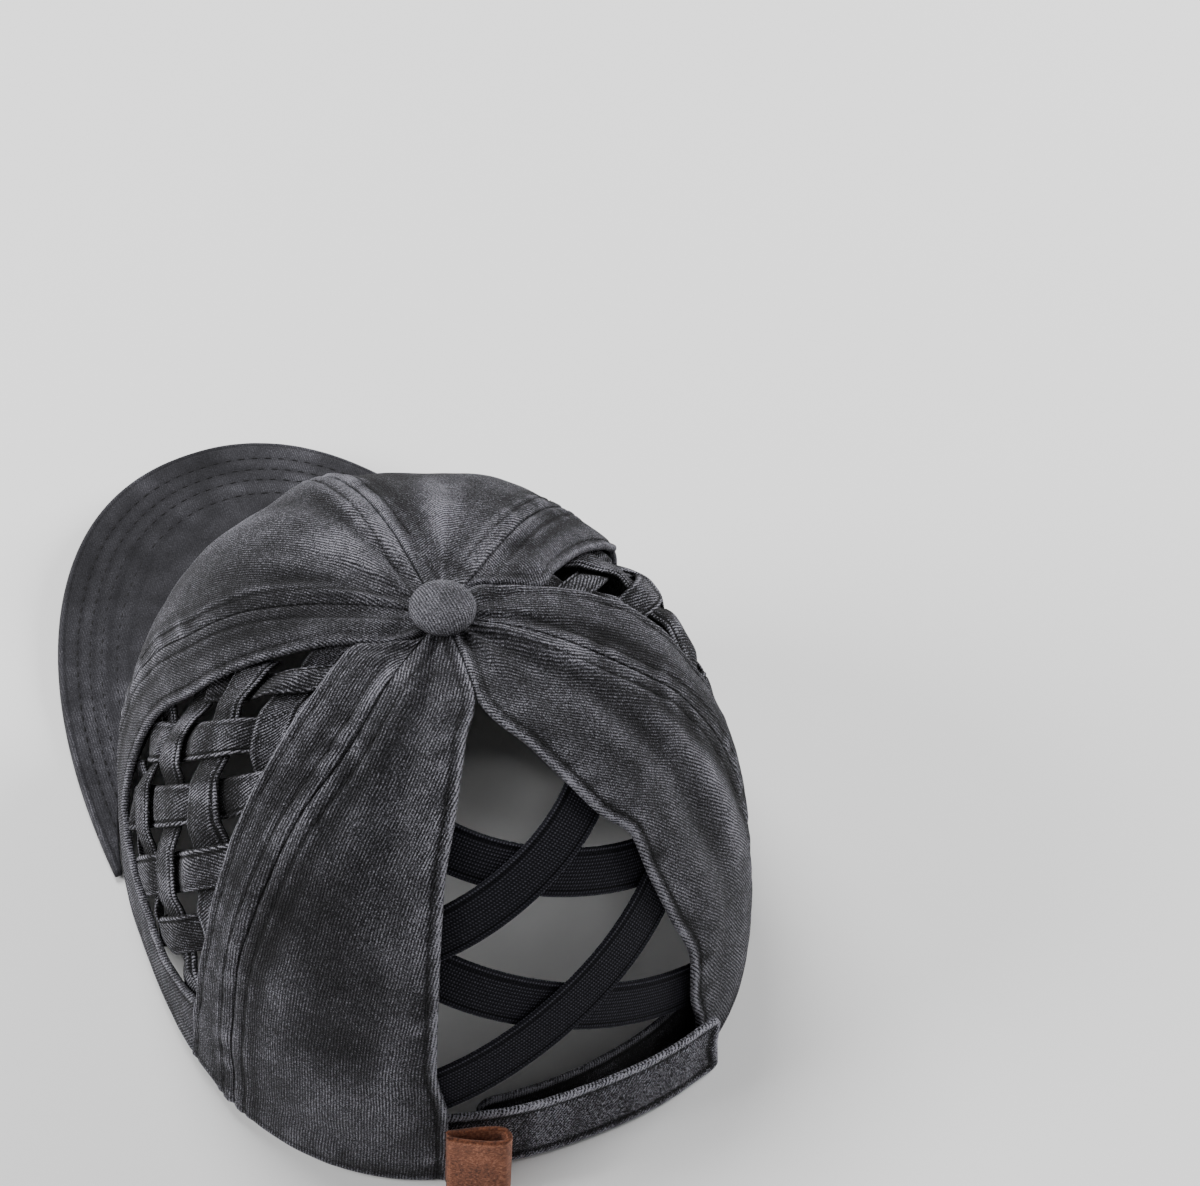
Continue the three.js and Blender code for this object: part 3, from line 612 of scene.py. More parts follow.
def hem_look(d, along, seed):
    """Relief and wear near a turned and stitched hem: a painted highlight on the rolled edge and
    painted shade in the stitch row's dent.
    """
    lump = run_noise(along + 0.4 * d, 4.0, seed)
    fine = run_noise(along - 0.4 * d, 1.3, seed + 3)
    relief = bumps(d, (0.26, 1.1, 0.9), (-0.26, HEM_ROW, 0.55), (0.14 * lump, 2, 4))
    # The 1.5 line is a painted highlight on the rolled edge; the dark lines are painted shade in the
    # stitch row's dent.
    wear = bumps(
        d, (0.5 * (0.85 + 0.25 * fine), 0.9, 0.9), (1.5 * (0.85 + 0.4 * fine), 0.75, 0.5),
        (-0.25, 1.9, 0.5), (-1.1, HEM_ROW, 0.5), (0.6 * lump, 4.8, 2.6),
    )
    return relief, wear


def window_look(d, along, seed):
    """A hem like the others, but darker."""
    relief, wear = hem_look(d, along, seed)
    return relief, wear * 0.55 - 0.1 * bump(d, 1, 2)


def rim_look(d, along, seed):
    """Relief and wear near the crown's lower edge, with painted shade in the stitch row's dent."""
    lump = run_noise(along, 5.0, seed)
    relief = bumps(d, (0.12, 1.2, 1.2), (-0.2, RIM_ROW, 0.6), (0.12 * lump, 4, 4))
    # Painted shade in the stitch row's dent.
    return relief, bumps(d, (0.6, 0.8, 0.8), (-0.5, RIM_ROW, 0.6), (0.4 * lump, 5, 4))


LOOKS = {"seam": seam_look, "hem": hem_look, "window": window_look, "rim": rim_look}


def creases(around, up):
    """Waves of washed cloth that all the crown's panels share, in mm."""
    def rays(wide, tall, seed):
        return noise(np.stack([around / wide, up / tall], -1), 1, seed)

    here = skin(around, up)
    soft = 0.8 * noise(here, 24, 1) + 0.36 * noise(here, 10, 2) + dents(CREASES, around, up)
    soft = soft + 0.85 * rays(7.5, 38, 6) * smooth(up, 6, 24)
    high = smooth(up, 40, 68) * (1 - smooth(up, 86, 89.5))
    radial = high * (0.5 * rays(6.5, 42, 3) + 0.22 * rays(3.2, 30, 4))
    return soft * smooth(up, 1, 10) * (1 - smooth(up, 82, 88)) + radial


def hem_waves(distance, along, seed):
    """The share of the creases that a hem lets through, and the hem's own waves in mm."""
    return smooth(distance, 5, 16), 0.4 * run_noise(along, 7.5, seed + 40) * bump(distance, 0, 7)


def slant(border, along_row):
    """Sine of the angle between an edge and the rows that end on it."""
    sine = norm(np.cross(unit(np.gradient(border, axis=0)), unit(along_row)))
    return np.clip(sine, LEAST_SINE, 1)


def dress(around, up, edges, seed):
    """Outer face, inner face, and wear with painted light and shade, of cloth whose edges are (kind,
    distance, along).
    """
    relief, wear, ruffle = 0.0, 0.0, 0.0
    body, calm = 1.0, 1.0
    flat = 1 - 0.5 * smooth(up, 64, 82)
    for k, (kind, distance, along) in enumerate(edges):
        body = np.minimum(body, rounded(distance, EDGE_ROUND[kind]))
        if kind == "end":
            continue
        more, rub_and_shading = LOOKS[kind](distance, along, seed + NEXT_EDGE * k)
        relief, wear = relief + more * flat, wear + rub_and_shading * flat
        if kind in ("hem", "window"):
            share, own = hem_waves(distance, along, seed)
            calm, ruffle = calm * share, ruffle + own
    waves = creases(around, up) * calm + ruffle
    half = CLOTH.thick / 2
    outer = place(around, up, -half + waves + (half + relief) * body)
    inner = place(around, up, -half + waves - half * body)
    # Painted highlight on the ridges of the waves and relief, painted shade in their hollows.
    return outer, inner, wear + WAVE_SHADING * waves + RELIEF_SHADING * relief


def edge_spread(width, middle):
    """Distances across rows of some widths, close together near both edges."""
    zone = np.minimum(EDGE_STEPS[-1], 0.34 * width)[:, None]
    near = zone * EDGE_STEPS / EDGE_STEPS[-1]
    inner = zone + (width[:, None] - 2 * zone) * np.linspace(0, 1, middle + 1)[1:-1]
    return np.concatenate([near, inner, width[:, None] - near[:, ::-1]], 1)


def spread(width, middle):
    """The same for one row."""
    return edge_spread(np.array([float(width)]), middle)[0]


def climb(around, low, top):
    """Values of up from low to top, evenly spaced along the cloth and close at both ends."""
    ups = np.linspace(low, top, 600)
    run = arc(skin(around, ups))
    count = max(int((run[-1] - 2 * EDGE_STEPS[-1]) / PANEL_STEP), 2)
    return np.interp(spread(run[-1], count), run, ups)


def panel(node, edge_a, edge_b, kinds, grain, seed, top=CLOTH.top_up):
    """A panel between two edges, each a function of up."""
    up = climb((edge_a(30.0) + edge_b(30.0)) / 2, 0.0, top)
    a, b = edge_a(up), edge_b(up)
    wide = np.maximum(np.abs(b - a) * norm(degree((a + b) / 2, up)), 0.5)
    columns = max(int((wide.max() - 2 * EDGE_STEPS[-1]) / PANEL_STEP), 2)
    gap = PANEL_GAP / wide[:, None]
    share = mix(gap, 1 - gap, edge_spread(wide, columns) / wide[:, None])
    around = mix(a[:, None], b[:, None], share)
    up = np.broadcast_to(up[:, None], around.shape)
    face = skin(around, up)
    run, rise = arc(face, 1), arc(face, 0)
    width = run[:, -1:]
    edges = [
        (kinds[0], run * slant(face[:, 0], face[:, 2] - face[:, 0])[:, None], rise),
        (kinds[1], (width - run) * slant(face[:, -1], face[:, -1] - face[:, -3])[:, None], rise),
        ("rim", rise, run + 3 * seed),
        ("end", rise[-1:] - rise, run),
    ]
    uv = turned(run - width / 2, rise, grain)
    shell(f"{node}_cloth", *dress(around, up, edges, seed), uv, "crown_cloth", node)


def crown_edges(word, side):
    """The lines between the panels on one side, each a function of up."""
    def line(table, way=side):
        return lambda up: way * read(table, up)

    hems = WINDOW[word]
    return Sizes(middle=np.zeros_like, side=line(SEAM_SIDE), front_hem=line(hems.front),
                 back_hem=line(hems.back), back=line(SEAM_BACK), opening=line(OPENING[word], 1))


def front_strip(node, side, hems, grain, seed):
    """The strip in front of the window with the band that runs on under the window, in one piece."""
    hem_foot, far_foot = hems.front[1][0], hems.back[1][0]
    sill = read(SILL, hem_foot)
    low_rows = spread(SILL_TALL, 5) / SILL_TALL
    high = climb(side * STRIP_MIDDLE, sill, hems.front_top)[1:]
    high = np.concatenate([[sill + 0.25, sill + 0.6], high[high > sill + 0.9]])
    across, under = spread(STRIP_WIDE, 8) / STRIP_WIDE, spread(SILL_LONG, 46) / SILL_LONG
    strip, low = len(across) - 1, len(low_rows) - 1
    up = np.append(sill * low_rows, high)[:, None] + np.zeros(strip + len(under))
    band, beside = np.s_[:low + 1, strip:], np.s_[:, :strip + 1]
    guess = mix(read(hems.front, up[:low + 1, :1]), far_foot, under)
    up[band] = read(SILL, np.maximum(guess, hem_foot)) * low_rows[:, None]
    around = read(hems.front, up)
    around[band] = mix(around[band], read(hems.back, up[band]), under)
    around[beside] = mix(read(SEAM_SIDE, up[beside]), read(hems.front, up[beside]), across)
    cells = np.ones((len(up) - 1, len(up[0]) - 1), bool)
    cells[low:, strip:] = False
    around = side * around
    face = skin(around, up)
    run, rise = arc(face, 1), arc(face, 0)
    to_hem, to_sill = run[:, strip:strip + 1] - run, rise[low:low + 1] - rise
    in_strip = np.arange(len(up[0])) <= strip
    under_window = np.arange(len(up))[:, None] <= low
    beside_hem = np.hypot(to_hem, np.maximum(to_sill, 0))
    to_window = np.where(in_strip, beside_hem, np.where(under_window, to_sill, FAR))
    edges = [
        ("seam", run, rise),
        ("window", to_window, np.where(in_strip, rise, run)),
        ("rim", rise, run),
        ("end", rise[-1:] - rise, run),
        ("end", np.where(under_window, run[:, -1:] - run, FAR), run),
    ]
    uv = turned(run, rise, grain)
    shell(f"{node}_cloth", *dress(around, up, edges, seed), uv, "crown_cloth", node, cells)


def crown():
    for n, (word, side) in enumerate(SIDES):
        hems, line, grain = WINDOW[word], crown_edges(word, side), GRAINS[word]
        panel(f"front_panel_{word}", line.middle, line.side, ("seam", "seam"),
              grain.front, SEEDS.front + n)
        panel(f"back_panel_{word}", line.back, line.opening, ("seam", "hem"),
              grain.back, SEEDS.back + n)
        panel(f"side_back_{word}", line.back_hem, line.back, ("window", "seam"),
              grain.back_strip, SEEDS.back_strip + n, hems.back_top)
        front_strip(f"side_front_{word}", side, hems, grain.front_strip, SEEDS.front_strip + n)


# Woven strips

UP_STEP = (math.pi / 2) * math.hypot(CROWN.side, CROWN.tall) / math.sqrt(2) / 90


def around_step(up):
    return math.radians(1) * 0.88 * CROWN.side * np.cos(np.radians(np.clip(up, 0, 88))) ** DOME.round


def flatten(around, up):
    """A place on a flattened crown, in mm."""
    return np.stack([(around - WEAVE.middle) * around_step(up), up * UP_STEP], -1)


def window_outline(hems):
    front, back = hems.front[1][0], hems.back[1][0]
    rising = np.linspace(read(SILL, front), hems.top, 21)
    falling = np.linspace(hems.top, read(SILL, back), 21)[1:]
    back_again = np.linspace(back, front, 13)[1:-1]
    return np.concatenate([
        flatten(read(hems.front, rising), rising),
        flatten(read(hems.back, falling), falling),
        flatten(back_again, read(SILL, back_again)),
    ])


def inside(outline, around, up):
    """Distance inside the window's outline, negative outside it."""
    p = flatten(around, up)[..., None, :]
    a, b = outline, np.roll(outline, -1, axis=0)
    d = b - a
    t = np.clip(((p - a) * d).sum(-1) / np.maximum((d * d).sum(-1), 1e-9), 0, 1)
    nearest = norm(p - a - t[..., None] * d).min(-1)
    crosses = (a[:, 1] > p[..., 1]) != (b[:, 1] > p[..., 1])
    rise = np.where(d[:, 1] == 0, 1e-9, d[:, 1])
    left = p[..., 0] < a[:, 0] + (p[..., 1] - a[:, 1]) / rise * d[:, 0]
    within = (crosses & left).sum(-1) % 2 == 1
    return np.where(within, nearest, -nearest)


def height_of(way, row):
    """Height of a row's middle line; fractions fall between rows."""
    k = np.clip(np.floor(row).astype(int) - 1, 0, len(way.up) - 2)
    return mix(way.up[k], way.up[k + 1], row - (k + 1))


def crossing(across_row, down_row):
    across, down = WAYS["across"], WAYS["down"]
    a, d = height_of(across, across_row), height_of(down, down_row)
    around = WEAVE.middle + (d - a) / (across.slope - down.slope)
    return around, a + across.slope * (around - WEAVE.middle)


def strip_section(double):
    """Shares of the width, heights over the middle (mm), and wear round one woven strip, with painted
    shade in its grooves, along both edges and on its underside.
    """
    top = np.array([-0.5, -0.494, -0.475, -0.445, -0.41, -0.37, -0.32, -0.25, -0.15, -0.04, 0.06, 0.14,
                    0.19, 0.23, 0.265, 0.3, 0.335, 0.37, 0.4, 0.43, 0.46, 0.482, 0.495, 0.5])
    bottom = np.array([0.49, 0.46, 0.4, 0.2, 0, -0.2, -0.4, -0.46, -0.49])
    half = WEAVE.thick / 2
    edge = lambda share: rounded(0.5 - np.abs(share), 0.11)
    puff = 0.34 * (1 - (2 * top + 0.15) ** 2)
    ridge, groove, second = (0.44, 0.035), (0.36, 0.026), (0.285, 0.035)
    high = half + puff + bumps(top, (0.22, *ridge), (-0.42, *groove), (0.16 if double else 0, *second))
    # Pale worn fold lines; painted shade in the grooves, along both edges (the last term) and on the
    # underside (the -0.5).
    wear = bumps(
        top, (1.3, *ridge), (-1.9, *groove), (1.0 if double else 0.2, *second),
        (0.75, -0.43, 0.03), (0.1, -0.1, 0.15), (-0.55, -0.34, 0.05),
    ) - 1.2 * bump(np.abs(top), 0.5, 0.022)
    heights = np.concatenate([edge(top) * high, -half * edge(bottom)])
    return np.concatenate([top, bottom]), heights, np.append(wear, np.full(len(bottom), -0.5))


def weave_strip(word, side, outline, kind, row):
    is_across, way = kind == "across", WAYS[kind]

    def meet(own, other):
        return crossing(own, other) if is_across else crossing(other, own)

    span = np.arange(-0.5, 6.5, 0.02)
    seen = span[inside(outline, *meet(np.full_like(span, row), span)) > 0]
    ends = seen[0] - way.tuck, seen[-1] + way.tuck
    around, up = meet(np.full(50, float(row)), np.linspace(*ends, 50))
    other = np.linspace(*ends, int(arc(skin(side * around, up))[-1] / 0.8))[:, None]
    shares, heights, rub_and_shading = strip_section(not is_across)
    facing = 1 if is_across and row in (2, 3) else -1
    around, up = meet(row + facing * shares[None, :] * way.wide, other + 0 * shares)
    depth = inside(outline, around, up)
    face = mix(WEAVE_UNDER, WEAVE.face, smooth(depth, WEAVE.lip, WEAVE.lip + WEAVE.dive))
    sign = (1 if row % 2 == 0 else -1) * (1 if is_across else -1)
    over = sign * np.sin(np.pi / 2 * np.clip(1.4 * np.cos(np.pi * other), -1, 1))
    points = place(side * around, np.clip(up, 1, 88), face + WEAVE_SWING * over + heights)
    run = arc(points, 0)
    gauge = norm(points[:, 0] - points[:, 23])[:, None]
    lump = run_noise(run + 40 * row, 4.0, row + (20 if is_across else 0))
    # Painted shade where the strip dives under, painted light where it passes over (the over term).
    wear = rub_and_shading * (0.85 + 0.4 * lump) + 0.4 * over - 0.3 + 0.5 * lump
    node = f"weave_{word}_{kind}_{row}"
    loft(f"{node}_cloth", points, turned(shares * gauge, run, way.grain), wear, "woven_strip", node)


def weaves():
    for word, side in SIDES:
        outline = window_outline(WINDOW[word])
        for row, kind in product(range(1, 6), WAYS):
            weave_strip(word, side, outline, kind, row)


# Elastic bands, strap, tape and loop


def radius_at(around, up):
    p, top = skin(around, up), skin(around, 90)
    return np.hypot(p[..., 0] - top[..., 0], p[..., 1] - top[..., 1])


def band(node, from_around, from_up, to_around, to_up, out):
    turn, rise = to_around - from_around, to_up - from_up
    slope = rise / turn
    extra = BAND.tuck / math.hypot(turn * around_step(0), rise * UP_STEP) * turn
    around = np.linspace(from_around - extra, to_around + extra, 110)[:, None]
    up = from_up + slope * (around - from_around)
    offsets = spread(BAND.wide, 14) - BAND.wide / 2
    scale = np.radians(radius_at(around, up))
    along = unit(np.stack([scale, np.full_like(scale, slope * UP_STEP)], -1))
    around, up = around - along[..., 1] * offsets / scale, up + along[..., 0] * offsets / UP_STEP
    d = BAND.wide / 2 - np.abs(offsets)[None, :] + 0 * around
    cord = bumps(d, (0.16, 0.85, 0.5), (-0.16, 1.75, 0.35), (0.05, 2.4, 0.4))
    body = (BAND.thick / 2 - 0.14 + cord) * rounded(d, 0.6)
    outer, inner = place(around, up, out + body), place(around, up, out - body)
    # Paler on the edge cords, painted shade in the groove inside them.
    wear = bumps(d, (0.25, 0.8, 0.5), (-0.7, 1.75, 0.4))
    length = arc(outer, 0)
    uv = np.stack([offsets + 0 * length, length], -1)
    shell(f"{node}_elastic", outer, inner, wear, uv, "elastic", node)


def outward_at(around):
    """Level direction out of the crown near its rim."""
    outward = place(around, 7, 1) - skin(around, 7)
    outward[..., 2] = 0
    return unit(outward)


def upright(name, node, sizes, out_at, slot, welt, free_end, grain, seed):
    """A strip of cloth standing along the rim, with welted edges."""
    run = math.radians(sizes.stop - sizes.start) * CROWN.back
    length = spread(run, int(run)) / run
    height = spread(sizes.tall, 10) / sizes.tall
    around = mix(sizes.start, sizes.stop, length)[:, None] + 0 * height
    to_end = np.minimum(length, 1 - length)[:, None] * run
    corner = sizes.corner * (1 - rounded(to_end, sizes.corner)) / sizes.tall
    height = mix(corner, 1 - corner, height[None, :])
    low, high = skin(around, 0), skin(around, 14)
    share = (sizes.foot + (sizes.tall - sizes.foot) * height - low[..., 2]) / (high - low)[..., 2]
    middle, outward = mix(low, high, share[..., None]), outward_at(around)
    along, up = arc(middle, 0), arc(middle, 1)
    top_edge, far_end = up[:, -1:] - up, along[-1:] - along
    d = np.minimum(np.minimum(up, top_edge), far_end if free_end else FAR)
    nearest = np.minimum(np.minimum(d, along), far_end)
    lump = run_noise(along, 5.0, seed)
    ripple = run_noise(along, 17.0, seed + 1) * smooth(up / up[:, -1:], 0.4, 1.0)
    body = rounded(nearest, sizes.thick / 2)
    face = welt * bumps(d, (1, 1.5, 1.1), (-0.9, 3.5, 0.8), (0.25 * lump, 3, 3))
    half = sizes.thick / 2 - welt
    offset = out_at(around) + 0.25 * ripple
    outer = middle + outward * (offset + (half + face) * body)[..., None]
    inner = middle + outward * (offset - (half + face * 0.5) * body)[..., None]
    # A paler line along the edges, and painted shade in the stitched groove inside it.
    pale_edge = 1.5 * (0.85 + 0.2 * run_noise(along, 1.6, seed + 2))
    wear = bumps(d, (pale_edge, 1.0, 0.9), (-1.3, 3.1, 0.7), (0.6 * lump, 7, 5))
    wear = wear + 0.35 * bump(top_edge, 1.0, 1.0) + 0.08
    shell(name, outer, inner, wear, turned(along, up, grain), slot, node)


def straps():
    strap_out = lambda around: mix(STRAP_UNDER, STRAP_OVER, read(STRAP_RUN, around))
    upright("strap_outer_cloth", "strap_outer", STRAP, strap_out, "strap_cloth",
            welt=0.34, free_end=True, grain=62, seed=61)
    upright("strap_inner_tape", "strap_inner", TAPE, lambda around: TAPE_OUT, "fastening_tape",
            welt=0.16, free_end=False, grain=50, seed=71)


def tag():
    """The leather loop: one strip folded and sewn into the left hem."""
    low, outward = skin(TAG.at, 0), outward_at(TAG.at)
    sideways = np.array([-outward[1], outward[0], 0])
    sideways = -sideways if sideways[0] > 0 else sideways
    along, out = curve((-0.04, 0), (0.3, -0.05), (0.64, -0.05), (0.87, 0.08), (0.95, 0.4),
                       (0.96, 0.8), (0.86, 1.12), (0.62, 1.05), (0.28, 0.6), (-0.04, 0))
    knots = np.arange(len(along))
    back = np.where(knots > len(knots) / 2, (TAG.thick + CLOTH.gap) * (1 - out), 0)
    line = (along * TAG.wide, OVER_PANEL + TAG.thick / 2 + out * TAG.mouth + back)
    path = np.stack([np.interp(np.linspace(0, knots[-1], 90), knots, c) for c in line], -1)
    for _ in range(9):
        path[1:-1] = (path[:-2] + 2 * path[1:-1] + path[2:]) / 4
    step = unit(np.gradient(path, axis=0))
    across = np.stack([-step[:, 1], step[:, 0]], -1)
    height = spread(TAG.tall, 10)
    along = arc(path)[:, None] + 0 * height
    d = np.minimum(np.minimum(height, TAG.tall - height)[None, :],
                   np.minimum(along, along[-1:] - along))
    body = rounded(d, 0.5) * TAG.thick / 2

    def face(sign):
        flat = path[:, None, :] + sign * across[:, None, :] * body[..., None]
        points = low + flat[..., :1] * sideways + flat[..., 1:] * outward
        points[..., 2] = TAG.base + height
        return points

    wear = bumps(d, (0.5, 0.9, 0.5), (-0.7, 0, 0.5)) + 0.3 * noise(face(0), 5, 9)
    uv = np.stack([along, height + 0 * along], -1)
    shell("tag_leather_loop", face(1), face(-1), wear, uv, "tag_leather", "tag")


def button():
    """The button: a domed disc wrapped in cloth, gathered under its edge."""
    knots, wide, tall = curve(
        (0, 0.5, 0), (1, 0.86, 0), (2, 0.97, 0.16), (3, 1, 0.34), (4, 0.96, 0.56),
        (5, 0.84, 0.76), (6, 0.62, 0.91), (7, 0.34, 0.985), (8, 0.02, 1))
    k = np.linspace(0, 8, 57)[:, None]
    turn = np.linspace(0, 2 * math.pi, 120, endpoint=False)[None, :]
    gather = 0.012 * (1 - smooth(k, 1.5, 4.0)) * (1 + np.cos(24 * turn + 2 * np.sin(5 * turn)))
    across = read((knots, wide), k) * BUTTON.radius * (1 - gather)
    high = read((knots, tall), k) * BUTTON.tall + 0 * turn
    x, y = across * np.sin(turn), across * np.cos(turn)
    tip = math.radians(REST.pitch)
    top = skin(0, 90)
    points = np.stack([
        x + top[0],
        y * math.cos(tip) + high * math.sin(tip) + top[1],
        high * math.cos(tip) - y * math.sin(tip) + top[2] + BUTTON.seat,
    ], -1)
    run = arc(points[:, :1], 0)
    reach = (run[-1:] - run) + 0 * turn
    uv = turned(reach * np.sin(turn), reach * np.cos(turn), 25)
    # Painted shade on the gathered cloth under the dome's widest edge, and in a patch on the top's side
    # turned from the light.
    wear = 0.25 * bump(k, 4.3, 1.0) - 1.1 * (1 - smooth(k, 0.5, 2.6)) + 0.15 * noise(points, 4, 5)
    wear = wear - 0.45 * bump(np.hypot(x + 1.2, y - 0.6), 0, 3.2)
    loft("button_cover", points, uv, wear, "button_cloth", "button")


# Visor

STITCH_ROWS = (7.0, 11.4, 15.6, 21.0)


def row_share(u):
    """The rows of stitches close up towards the visor's corners."""
    return 1.22 - 0.47 * smooth(np.abs(u), 0.1, 0.9)


def visor_height(x, y):
    back = (y + CROWN.front + VISOR.reach) / VISOR_LONG
    return VISOR.nose + VISOR.rise * back - VISOR.sag * ((x - VISOR.middle) / VISOR.half_width) ** 2


def visor_waves(plan):
    return 0.3 * noise(plan, 26, 22)


def visor_rim(u):
    turn = np.radians(u * np.where(u > 0, VISOR.corner_left, VISOR.corner_right))
    x = VISOR.middle + VISOR.half_width * np.sign(u) * np.abs(np.sin(turn)) ** VISOR.squareness
    return np.stack([x, VISOR.root_y - VISOR_LONG * np.cos(turn) ** VISOR.squareness], -1)


def visor_root(u):
    """Where the visor meets the crown, in plan."""
    return skin(u * np.where(u > 0, VISOR.seam_left, VISOR.seam_right), 0)[:, :2]


def distance_to(line, points):
    """Distance in plan from points to a polyline."""
    best = np.full(points.shape[:-1], 1e9)
    for start, step in zip(line[:-1], np.diff(line, axis=0)):
        t = np.clip(((points - start) @ step) / max(step @ step, 1e-9), 0, 1)
        best = np.minimum(best, norm(points - start - t[..., None] * step))
    return best


def visor():
    corners = 0.86 * math.pi / 2
    u = np.sin(np.linspace(-1, 1, 211) * corners) / math.sin(corners)
    root = visor_root(u)
    root = root + unit(root * np.array([1, 0.8])) * CLOTH.gap
    share = 1 - spread(100, 74) / 100
    plan = mix(root[:, None], visor_rim(u)[:, None], share[None, :, None])
    x, y = plan[..., 0], plan[..., 1]
    d = distance_to(visor_rim(np.linspace(-1, 1, 161)), plan)
    d[:, 0] = 0
    to_root = norm(plan - root[:, None])
    run = arc(plan, 0)
    nearest = np.minimum(np.minimum(d, to_root), np.minimum(run, run[-1:] - run))
    half = VISOR.thick / 2
    inwards = d / row_share(u)[:, None]
    dents_in = bumps(inwards, *[(1, row, 0.8) for row in STITCH_ROWS])
    quilt = bumps(inwards, *[(1, (a + b) / 2, 1.3) for a, b in zip(STITCH_ROWS, STITCH_ROWS[1:])])
    relief = (visor_waves(plan) - 0.1 * dents_in + 0.04 * quilt + 0.05 * noise(plan, 3.2, 21)
              + bumps(d, (-0.2, 2.1, 0.45), (0.12, 1.1, 0.6)))
    body = rounded(nearest, half)
    z = visor_height(x, y)
    outer = np.stack([x, y, z + (half + relief) * body], -1)
    inner = np.stack([x, y, z - (half - 0.5 * relief) * body], -1)
    # Painted shade in the rim's groove and the stitch rows' dents, painted light on the puffs between
    # the rows.
    wear = (bumps(d, (0.35, 1.0, 0.8), (-0.4, 2.1, 0.4)) - 0.22 * dents_in + 0.1 * quilt
            + 0.35 * noise(plan, 30, 23) + 0.22 * noise(plan, 7, 24))
    shell("visor_cloth", outer, inner, wear, turned(x, y, 35), "visor_cloth", "visor")


# Stitches


def tubes(name, sewn, radius, material, slot, sides=6):
    """Many short threads as one mesh, from pairs of (threads, points, 3): lines and normals."""
    lines, normals = (np.concatenate(part) for part in zip(*sewn))
    step = unit(np.gradient(lines, axis=1))
    across = unit(np.cross(step, normals))
    over = np.cross(across, step)
    turn = np.linspace(0, 2 * math.pi, sides, endpoint=False)
    taper = np.sin(np.linspace(0.15, math.pi - 0.15, lines.shape[1])) ** 0.35
    ring = across[:, :, None] * np.cos(turn)[:, None] + over[:, :, None] * np.sin(turn)[:, None]
    points = lines[:, :, None] + ring * radius * taper[None, :, None, None]
    threads, count = lines.shape[:2]
    quads, ends = ring_faces(count, sides)
    base = np.arange(threads)[:, None, None] * count * sides
    quads = (base + quads[:, [0, 3, 2, 1]]).reshape(-1, 4).tolist()
    ends = (base + ends[:, ::-1]).reshape(-1, sides).tolist()
    along = np.broadcast_to(np.linspace(0, 3, count)[None, :, None], points.shape[:3])
    uv = np.stack([along, np.broadcast_to(turn / 6, points.shape[:3])], -1)
    wear = np.zeros(points.shape[:3])
    add_mesh(name, points, quads + ends, uv, wear, slot, material=material)


def stitch_line(path, normal, length, pitch, sink, rise):
    """Threads along a path: each dips into the cloth at its ends."""
    run = arc(path)
    starts = np.arange(1.0, run[-1] - length - 1.0, pitch)
    t = starts[:, None] + np.linspace(0, length, 6)[None, :]
    sample = lambda values: np.stack([np.interp(t, run, column) for column in values.T], -1)
    points, normals = sample(path), unit(sample(normal))
    arch = np.sin(np.linspace(0, math.pi, 6)) * (rise + sink) - sink
    return points + normals * arch[None, :, None], normals


def seam_rows(edge_at, side, kind, low, top, seed):
    """A line of topstitching beside an edge of a panel; side is the way into the panel."""
    distance = SEAM_ROW if kind == "seam" else HEM_ROW
    up = np.linspace(low, top, 260)
    edge = edge_at(up)
    border, row_way = skin(edge, up), degree(edge, up)
    scale = np.maximum(norm(row_way), 0.2)
    around = edge + side * distance / scale / slant(border, row_way)
    rise = arc(border)
    relief, _ = LOOKS[kind](np.full_like(up, distance), rise, seed)
    share, own = (1, 0) if kind == "seam" else hem_waves(distance, rise, seed)
    return place(around, up, creases(around, up) * share + own + relief), skin_normal(around, up)


def crown_stitches():
    sewn = []
    for n, (word, side) in enumerate(SIDES):
        line, top = vars(crown_edges(word, side)), WINDOW[word].top - 2
        for edge, way, kind, low, high, seed in (
            ("middle", side, "seam", 3, 84, SEEDS.front),
            ("side", -side, "seam", 3, 84, SEEDS.front + NEXT_EDGE),
            ("side", side, "seam", 3, 82, SEEDS.front_strip),
            ("back", -side, "seam", 3, 82, SEEDS.back_strip + NEXT_EDGE),
            ("back", side, "seam", 3, 84, SEEDS.back),
            ("back_hem", side, "hem", 2, top, SEEDS.back_strip),
            ("front_hem", -side, "hem", 15, top, SEEDS.front_strip + NEXT_EDGE),
            ("opening", -side, "hem", 2, OPENING_TOP - 1, SEEDS.back + NEXT_EDGE),
        ):
            path, normal = seam_rows(line[edge], way, kind, low, high, seed + n)
            sewn.append(stitch_line(path, normal, length=2.3, pitch=3.1, sink=0.22, rise=0.1))
    tubes("crown_stitches", sewn, 0.17, CROWN_THREAD, "crown_cloth")


def visor_stitches():
    u = np.linspace(-1, 1, 900)
    rim = visor_rim(u)
    step = unit(np.gradient(rim, axis=0))
    inward = np.stack([-step[:, 1], step[:, 0]], -1)
    inward = np.where(inward[:, 1:] < 0, -inward, inward)
    sewn = []
    for row in STITCH_ROWS:
        offset = row * row_share(u)
        plan = rim + inward * offset[:, None]
        keep = distance_to(rim[::6], plan) > offset - 0.4
        keep &= norm(plan) > norm(visor_root(u)) + 2
        plan = plan[keep]
        z = visor_height(plan[:, 0], plan[:, 1]) + VISOR.thick / 2 - 0.12 + visor_waves(plan)
        path = np.concatenate([plan, z[:, None]], 1)
        up = np.zeros_like(path) + [0, 0, 1]
        sewn.append(stitch_line(path, up, length=3.0, pitch=4.2, sink=0.2, rise=0.06))
    tubes("visor_stitches", sewn, 0.26, VISOR_THREAD, "visor_cloth")


# Studio

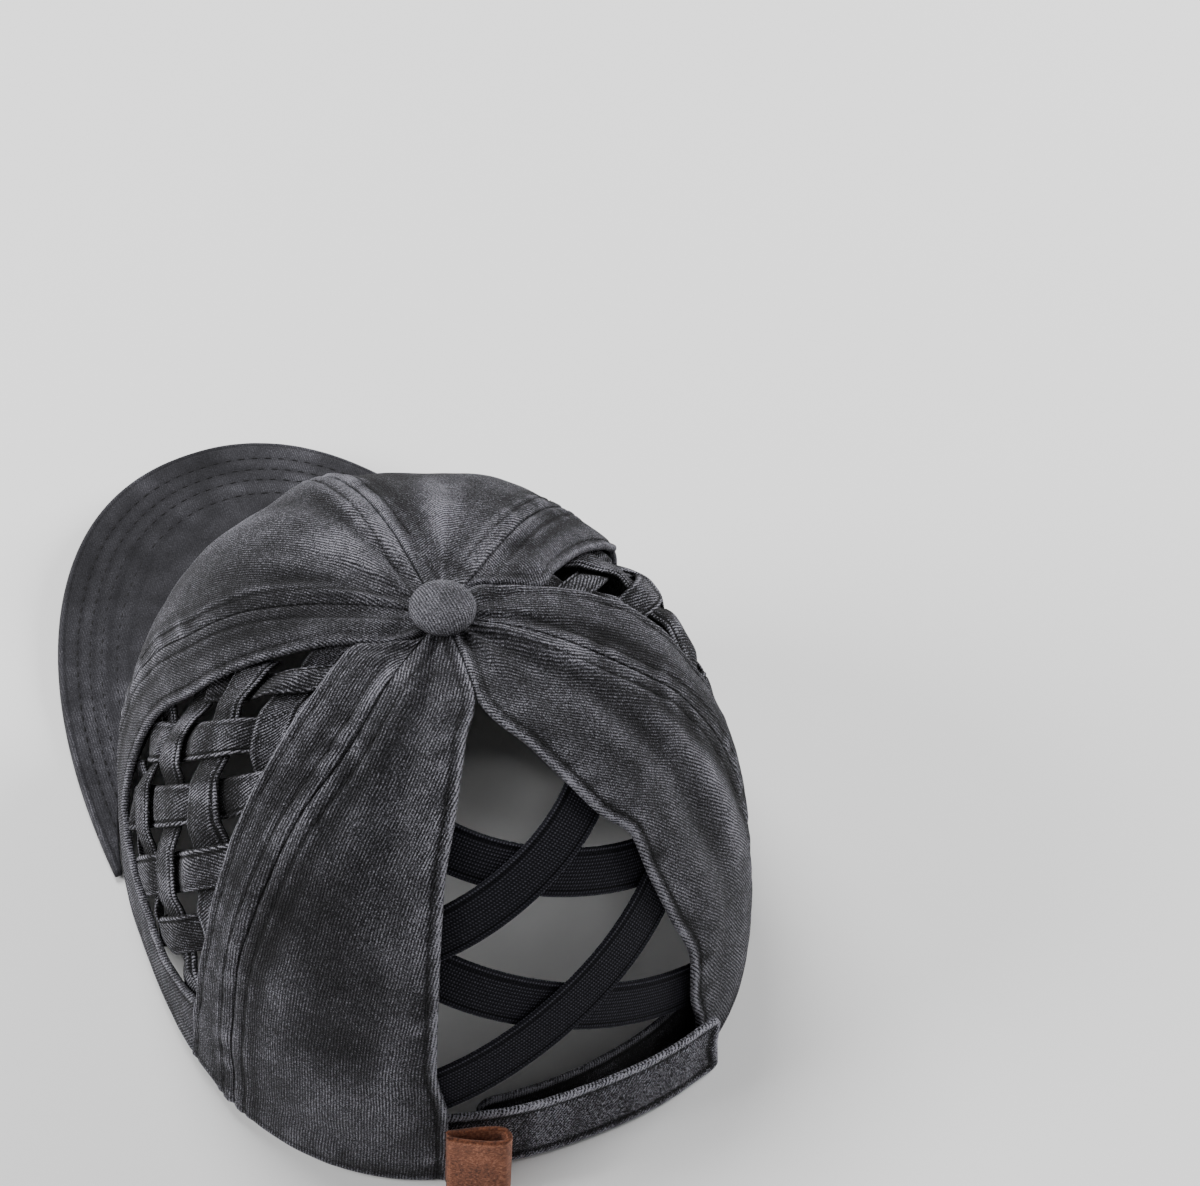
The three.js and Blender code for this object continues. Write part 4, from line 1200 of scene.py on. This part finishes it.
PHOTO = Sizes(wide=1200, tall=1186, focal=2835.9, target_x=429.4, target_y=756.5)
EYE = np.array([212.56, 461.64, 626.87])
TARGET = np.array([0, 4.52, 57.94])
FLOOR_REACH = 6.0
WORLD_LIGHT = 0.2


def turn_to(thing, rotation):
    thing.rotation_mode = "QUATERNION"
    thing.rotation_quaternion = rotation


def camera():
    """The photograph's viewpoint: the target lands where it does in the picture."""
    data = bpy.data.cameras.new("camera")
    data.sensor_width = 36
    data.lens = PHOTO.focal / PHOTO.wide * data.sensor_width
    data.clip_start, data.clip_end = 0.05, 20
    eye = put("camera", data)
    eye.location = Vector((EYE + SHIFT) * MM)
    looking = Vector(TARGET - EYE).to_track_quat("-Z", "Y")
    aim = Vector((PHOTO.target_x - PHOTO.wide / 2, PHOTO.tall / 2 - PHOTO.target_y, -PHOTO.focal))
    turn_to(eye, looking @ aim.rotation_difference(Vector((0, 0, -1))))
    bpy.context.scene.camera = eye


def softbox(name, location, size, power):
    data = bpy.data.lights.new(name, "AREA")
    data.shape, data.size, data.energy = "DISK", size, power
    light = put(name, data)
    light.location = location
    turn_to(light, (Vector((0, 0, 0.06)) - Vector(location)).to_track_quat("-Z", "Y"))


def studio():
    world = bpy.data.worlds.new("studio")
    world.use_nodes = True
    background = world.node_tree.nodes["Background"]
    background.inputs[0].default_value = (1, 1, 1, 1)
    background.inputs[1].default_value = WORLD_LIGHT
    bpy.context.scene.world = world
    softbox("left", (1.25, -0.3, 0.75), 0.8, 21)
    softbox("right", (-1.25, 0.0, 0.7), 0.8, 22)
    softbox("back", (0.1, -0.9, 1.3), 0.9, 23)
    softbox("front", (0.4, 1.1, 1.1), 0.7, 1.2)
    mesh = bpy.data.meshes.new("floor")
    corners = [(x * FLOOR_REACH, y * FLOOR_REACH, 0) for x, y in ((-1, -1), (1, -1), (1, 1), (-1, 1))]
    mesh.from_pydata(corners, [], [(0, 1, 2, 3)])
    mesh.materials.append(studio_floor())
    put("floor", mesh)


crown()
weaves()
for band_name, band_row in BANDS.items():
    band(band_name, *band_row)
straps()
tag()
button()
visor()
crown_stitches()
visor_stitches()
camera()
studio()
